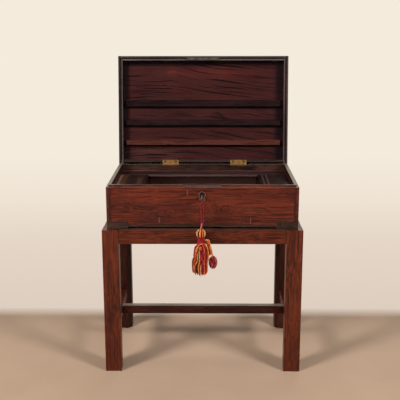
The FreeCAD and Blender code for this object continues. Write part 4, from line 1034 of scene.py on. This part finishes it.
# SHADED is the stand's wood darkened as painted shade, for the rear legs and the cross stretcher
SHADED = ((26, 10, 10), (50, 20, 15), (78, 34, 22))
FEET = ((32, 20, 17), (54, 36, 28), (78, 56, 44))
BOX = ((46, 18, 16), (84, 33, 23), (114, 48, 32))
BACK = ((30, 18, 18), (56, 34, 30), (84, 52, 42))
SHELF = ((36, 22, 26), (60, 38, 41), (80, 52, 52))
INNER = ((22, 12, 13), (40, 22, 21), (58, 34, 29))
LID = ((20, 12, 14), (38, 20, 22), (58, 30, 28))
PANEL = ((24, 14, 17), (42, 22, 24), (70, 34, 32))
LEDGE = ((19, 12, 15), (31, 18, 21), (48, 28, 30))
LOW = ((50, 24, 21), (73, 38, 33), (100, 54, 44))
# Slot, grain's direction, eased edge in millimetres, tones, details and nodes
BOARDS = (
    ("stand_wood", "z", 1.5, LEGS, LEG_DETAIL, "leg_front_left leg_front_right"),
    # Rear legs: darkened wood as painted shade
    ("stand_wood", "z", 1.5, SHADED, {}, "leg_rear_left leg_rear_right"),
    ("stand_wood", "x", 1.2, STAND, dict(worn=0.2), "apron_front apron_rear corner_blocks"),
    # Cross stretcher: darkened wood as painted shade, with strong painted sheen along its top
    ("stand_wood", "x", 1.2, SHADED, dict(worn=0.8), "cross_stretcher"),
    ("stand_wood", "y", 1.2, STAND, {},
     "apron_left apron_right side_stretcher_left side_stretcher_right"),
    ("box_wood", "x", 0.4, BOX, FRONT_DETAIL, "box_front"),
    ("box_wood", "x", 0, BACK, BACK_DETAIL, "box_back"),
    # Box sides: wear with painted sheen on their tops, painted shade on their inner faces
    ("box_wood", "y", 0.4, BOX, dict(worn=0.75, inner=0.2534), "box_left box_right"),
    ("foot_wood", "x", 0.8, FEET, dict(roughness=0.5),
     "box_bottom bottom_battens foot_front_left foot_front_right foot_rear_left foot_rear_right"),
    ("inner_wood", "x", 0.6, SHELF, SHELF_DETAIL, "rear_shelf"),
    ("inner_wood", "y", 0.6, INNER, COVER_DETAIL,
     "partition_left partition_right cover_left cover_right cover_cleats"),
    ("lid_wood", "lid_x", 0.6, LID, LID_FRONT_DETAIL, "lid_front"),
    ("lid_wood", "lid_x", 0, LID, LID_BACK_DETAIL, "lid_back"),
    ("lid_wood", "lid_y", 0.6, LID, LID_SIDE_DETAIL, "lid_left lid_right"),
    ("lid_panel_wood", "lid_x", 0.8, PANEL, PANEL_DETAIL, "lid_panel"),
    ("dark_ledge_wood", "lid_x", 1.0, LEDGE, dict(specular=0.12), "ledge_high ledge_middle"),
    ("brown_ledge_wood", "lid_x", 1.0, LOW, dict(specular=0.12), "ledge_low"),
)
SHARP, FLAT, SAME_POINT = radians(28), radians(0.6), 2e-6
BEVEL_STEPS, NORMAL_WEIGHT = 3, 80


def dressed_copy(node, width, material):
    """A board's own shape with its corners eased, as hand-planed and long-used wood has them."""
    shape = bmesh.new()
    shape.from_mesh(NODES[node].data)
    bmesh.ops.remove_doubles(shape, verts=shape.verts, dist=SAME_POINT)
    bmesh.ops.dissolve_limit(shape, angle_limit=FLAT, verts=shape.verts, edges=shape.edges)
    if width:
        edges = [e for e in shape.edges if len(e.link_faces) == 2
                 and e.calc_face_angle(0.0) > SHARP and e.calc_length() > width / 1000]
        bmesh.ops.bevel(shape, geom=edges, offset=width / 1000, segments=BEVEL_STEPS, profile=0.5,
                        affect="EDGES", clamp_overlap=True)
    mesh = bpy.data.meshes.new(node + "_dressed")
    shape.to_mesh(mesh)
    shape.free()
    mesh.polygons.foreach_set("use_smooth", [bool(width)] * len(mesh.polygons))
    mesh.materials.append(material)
    copy = new_object(node + "_dressed", mesh)
    normals = copy.modifiers.new("even_faces", "WEIGHTED_NORMAL")
    normals.keep_sharp = False
    normals.weight = NORMAL_WEIGHT
    return copy


def dress_boards():
    """Give each board in BOARDS its wood and eased edges."""
    for index, (slot, axis, width, tones, detail, nodes) in enumerate(BOARDS):
        material = wood_material(f"{slot}_{axis}_{index}", axis, index + 1, tones, **detail)
        for node in nodes.split():
            stand_in(dressed_copy(node, width, material), BODY_OF[node], node)


# ---- metal

# Share of the brushed noise in a metal's tone, and where in that its dark and light lie
BRUSHED, METAL_DARK, METAL_LIGHT = 0.3, 0.34, 0.6
PATINA, SCRATCHES = (130.0, 5.0, 0.6), (300.0, 2600.0, 2.0, 0.5)
PLATE_PLACE = mm(-1, -166, 508.5)
PLATE_RADIUS, PLATE_SKIRT, PLATE_LENGTH, PLATE_EDGE = 0.0094, 0.0132, 0.0202, 0.0011
# Pale tone of the painted highlight on the lock plate's rim
BRASS_HIGHLIGHT = rgb(184, 148, 136)
# Dark and light tone, roughness and nodes of each metal
METALS = {
    "hinge_brass": ((140, 98, 56), (222, 178, 116), 0.42,
                    "hinge_box_leaf_left hinge_box_leaf_right hinge_lid_leaf_left "
                    "hinge_lid_leaf_right hinge_pin_left hinge_pin_right"),
    "screw_steel": ((44, 34, 28), (118, 102, 84), 0.42, "box_screws lid_screws"),
    "lock_steel": ((82, 78, 74), (140, 134, 126), 0.5, "bolt lock_case lock_cover"),
    "plate_metal": ((66, 63, 61), (126, 121, 117), 0.5, "selvage_plate link_plate"),
    "dark_brass": ((40, 28, 24), (88, 68, 58), 0.45, "escutcheon"),
    "key_steel": ((76, 64, 60), (140, 122, 114), 0.38, "key"),
}


def metal_material(name, dark, light, roughness):
    """Old worked metal: darker in the hollows of its patina, scratched and unevenly dull."""
    material, tree, surface = new_material(name)
    place = tree.place()
    patina = tree.noise(place, *PATINA)
    tone = tree.total((patina, 1 - BRUSHED), (tree.drawn_noise(place, *SCRATCHES), BRUSHED))
    tree.fill(surface, {
        "Base Color": tree.ramp(tone, [(METAL_DARK, rgb(*dark)), (METAL_LIGHT, rgb(*light))]),
        "Metallic": 1.0,
        "Roughness": tree.spread(patina, 0.3, 0.7, roughness + 0.14, roughness - 0.06)})
    tree.bump(surface, tone, 0.15, 0.0003)
    return material


def paint_rim_highlight(material):
    """The lock plate's bevelled rim, painted brighter than its middle as a highlight."""
    tree = Tree(material.node_tree)
    surface = tree.nodes["Principled BSDF"]
    away = tree.vector("SUBTRACT", tree.place(), PLATE_PLACE)
    split = tree.add("SeparateXYZ", {0: away})
    flat = tree.vector("MULTIPLY", away, (1, 0, 1))
    disc = tree.minus(PLATE_RADIUS, tree.vector("LENGTH", flat))
    sides = tree.minus(PLATE_SKIRT / 2, tree.math("ABSOLUTE", split.outputs["X"]))
    below = tree.math("ADD", split.outputs["Z"], PLATE_LENGTH)
    above = tree.times(split.outputs["Z"], -1.0)
    skirt = tree.math("MINIMUM", tree.math("MINIMUM", sides, below), above)
    inside = tree.math("MAXIMUM", disc, skirt)
    rim = tree.spread(inside, PLATE_EDGE, PLATE_EDGE * 1.6, 1.0, 0.0)
    plain = surface.inputs["Base Color"].links[0].from_socket
    tree.fill(surface, {"Base Color": tree.mix(rim, plain, BRASS_HIGHLIGHT)})


def dress_metal():
    """Give each metal node its material."""
    for slot, (dark, light, roughness, nodes) in METALS.items():
        material = metal_material(slot, dark, light, roughness)
        if slot == "dark_brass":
            paint_rim_highlight(material)
        for node in nodes.split():
            NODES[node].data.materials[0] = material


bpy.context.scene.view_settings.view_transform = "Standard"
make_camera()
make_key_cord()
make_pendant(make_pompom())
make_head()
make_neck()
make_skirt()
dress_boards()
dress_metal()
make_world()
make_floor()
for lamp in LAMPS:
    add_lamp(*lamp)
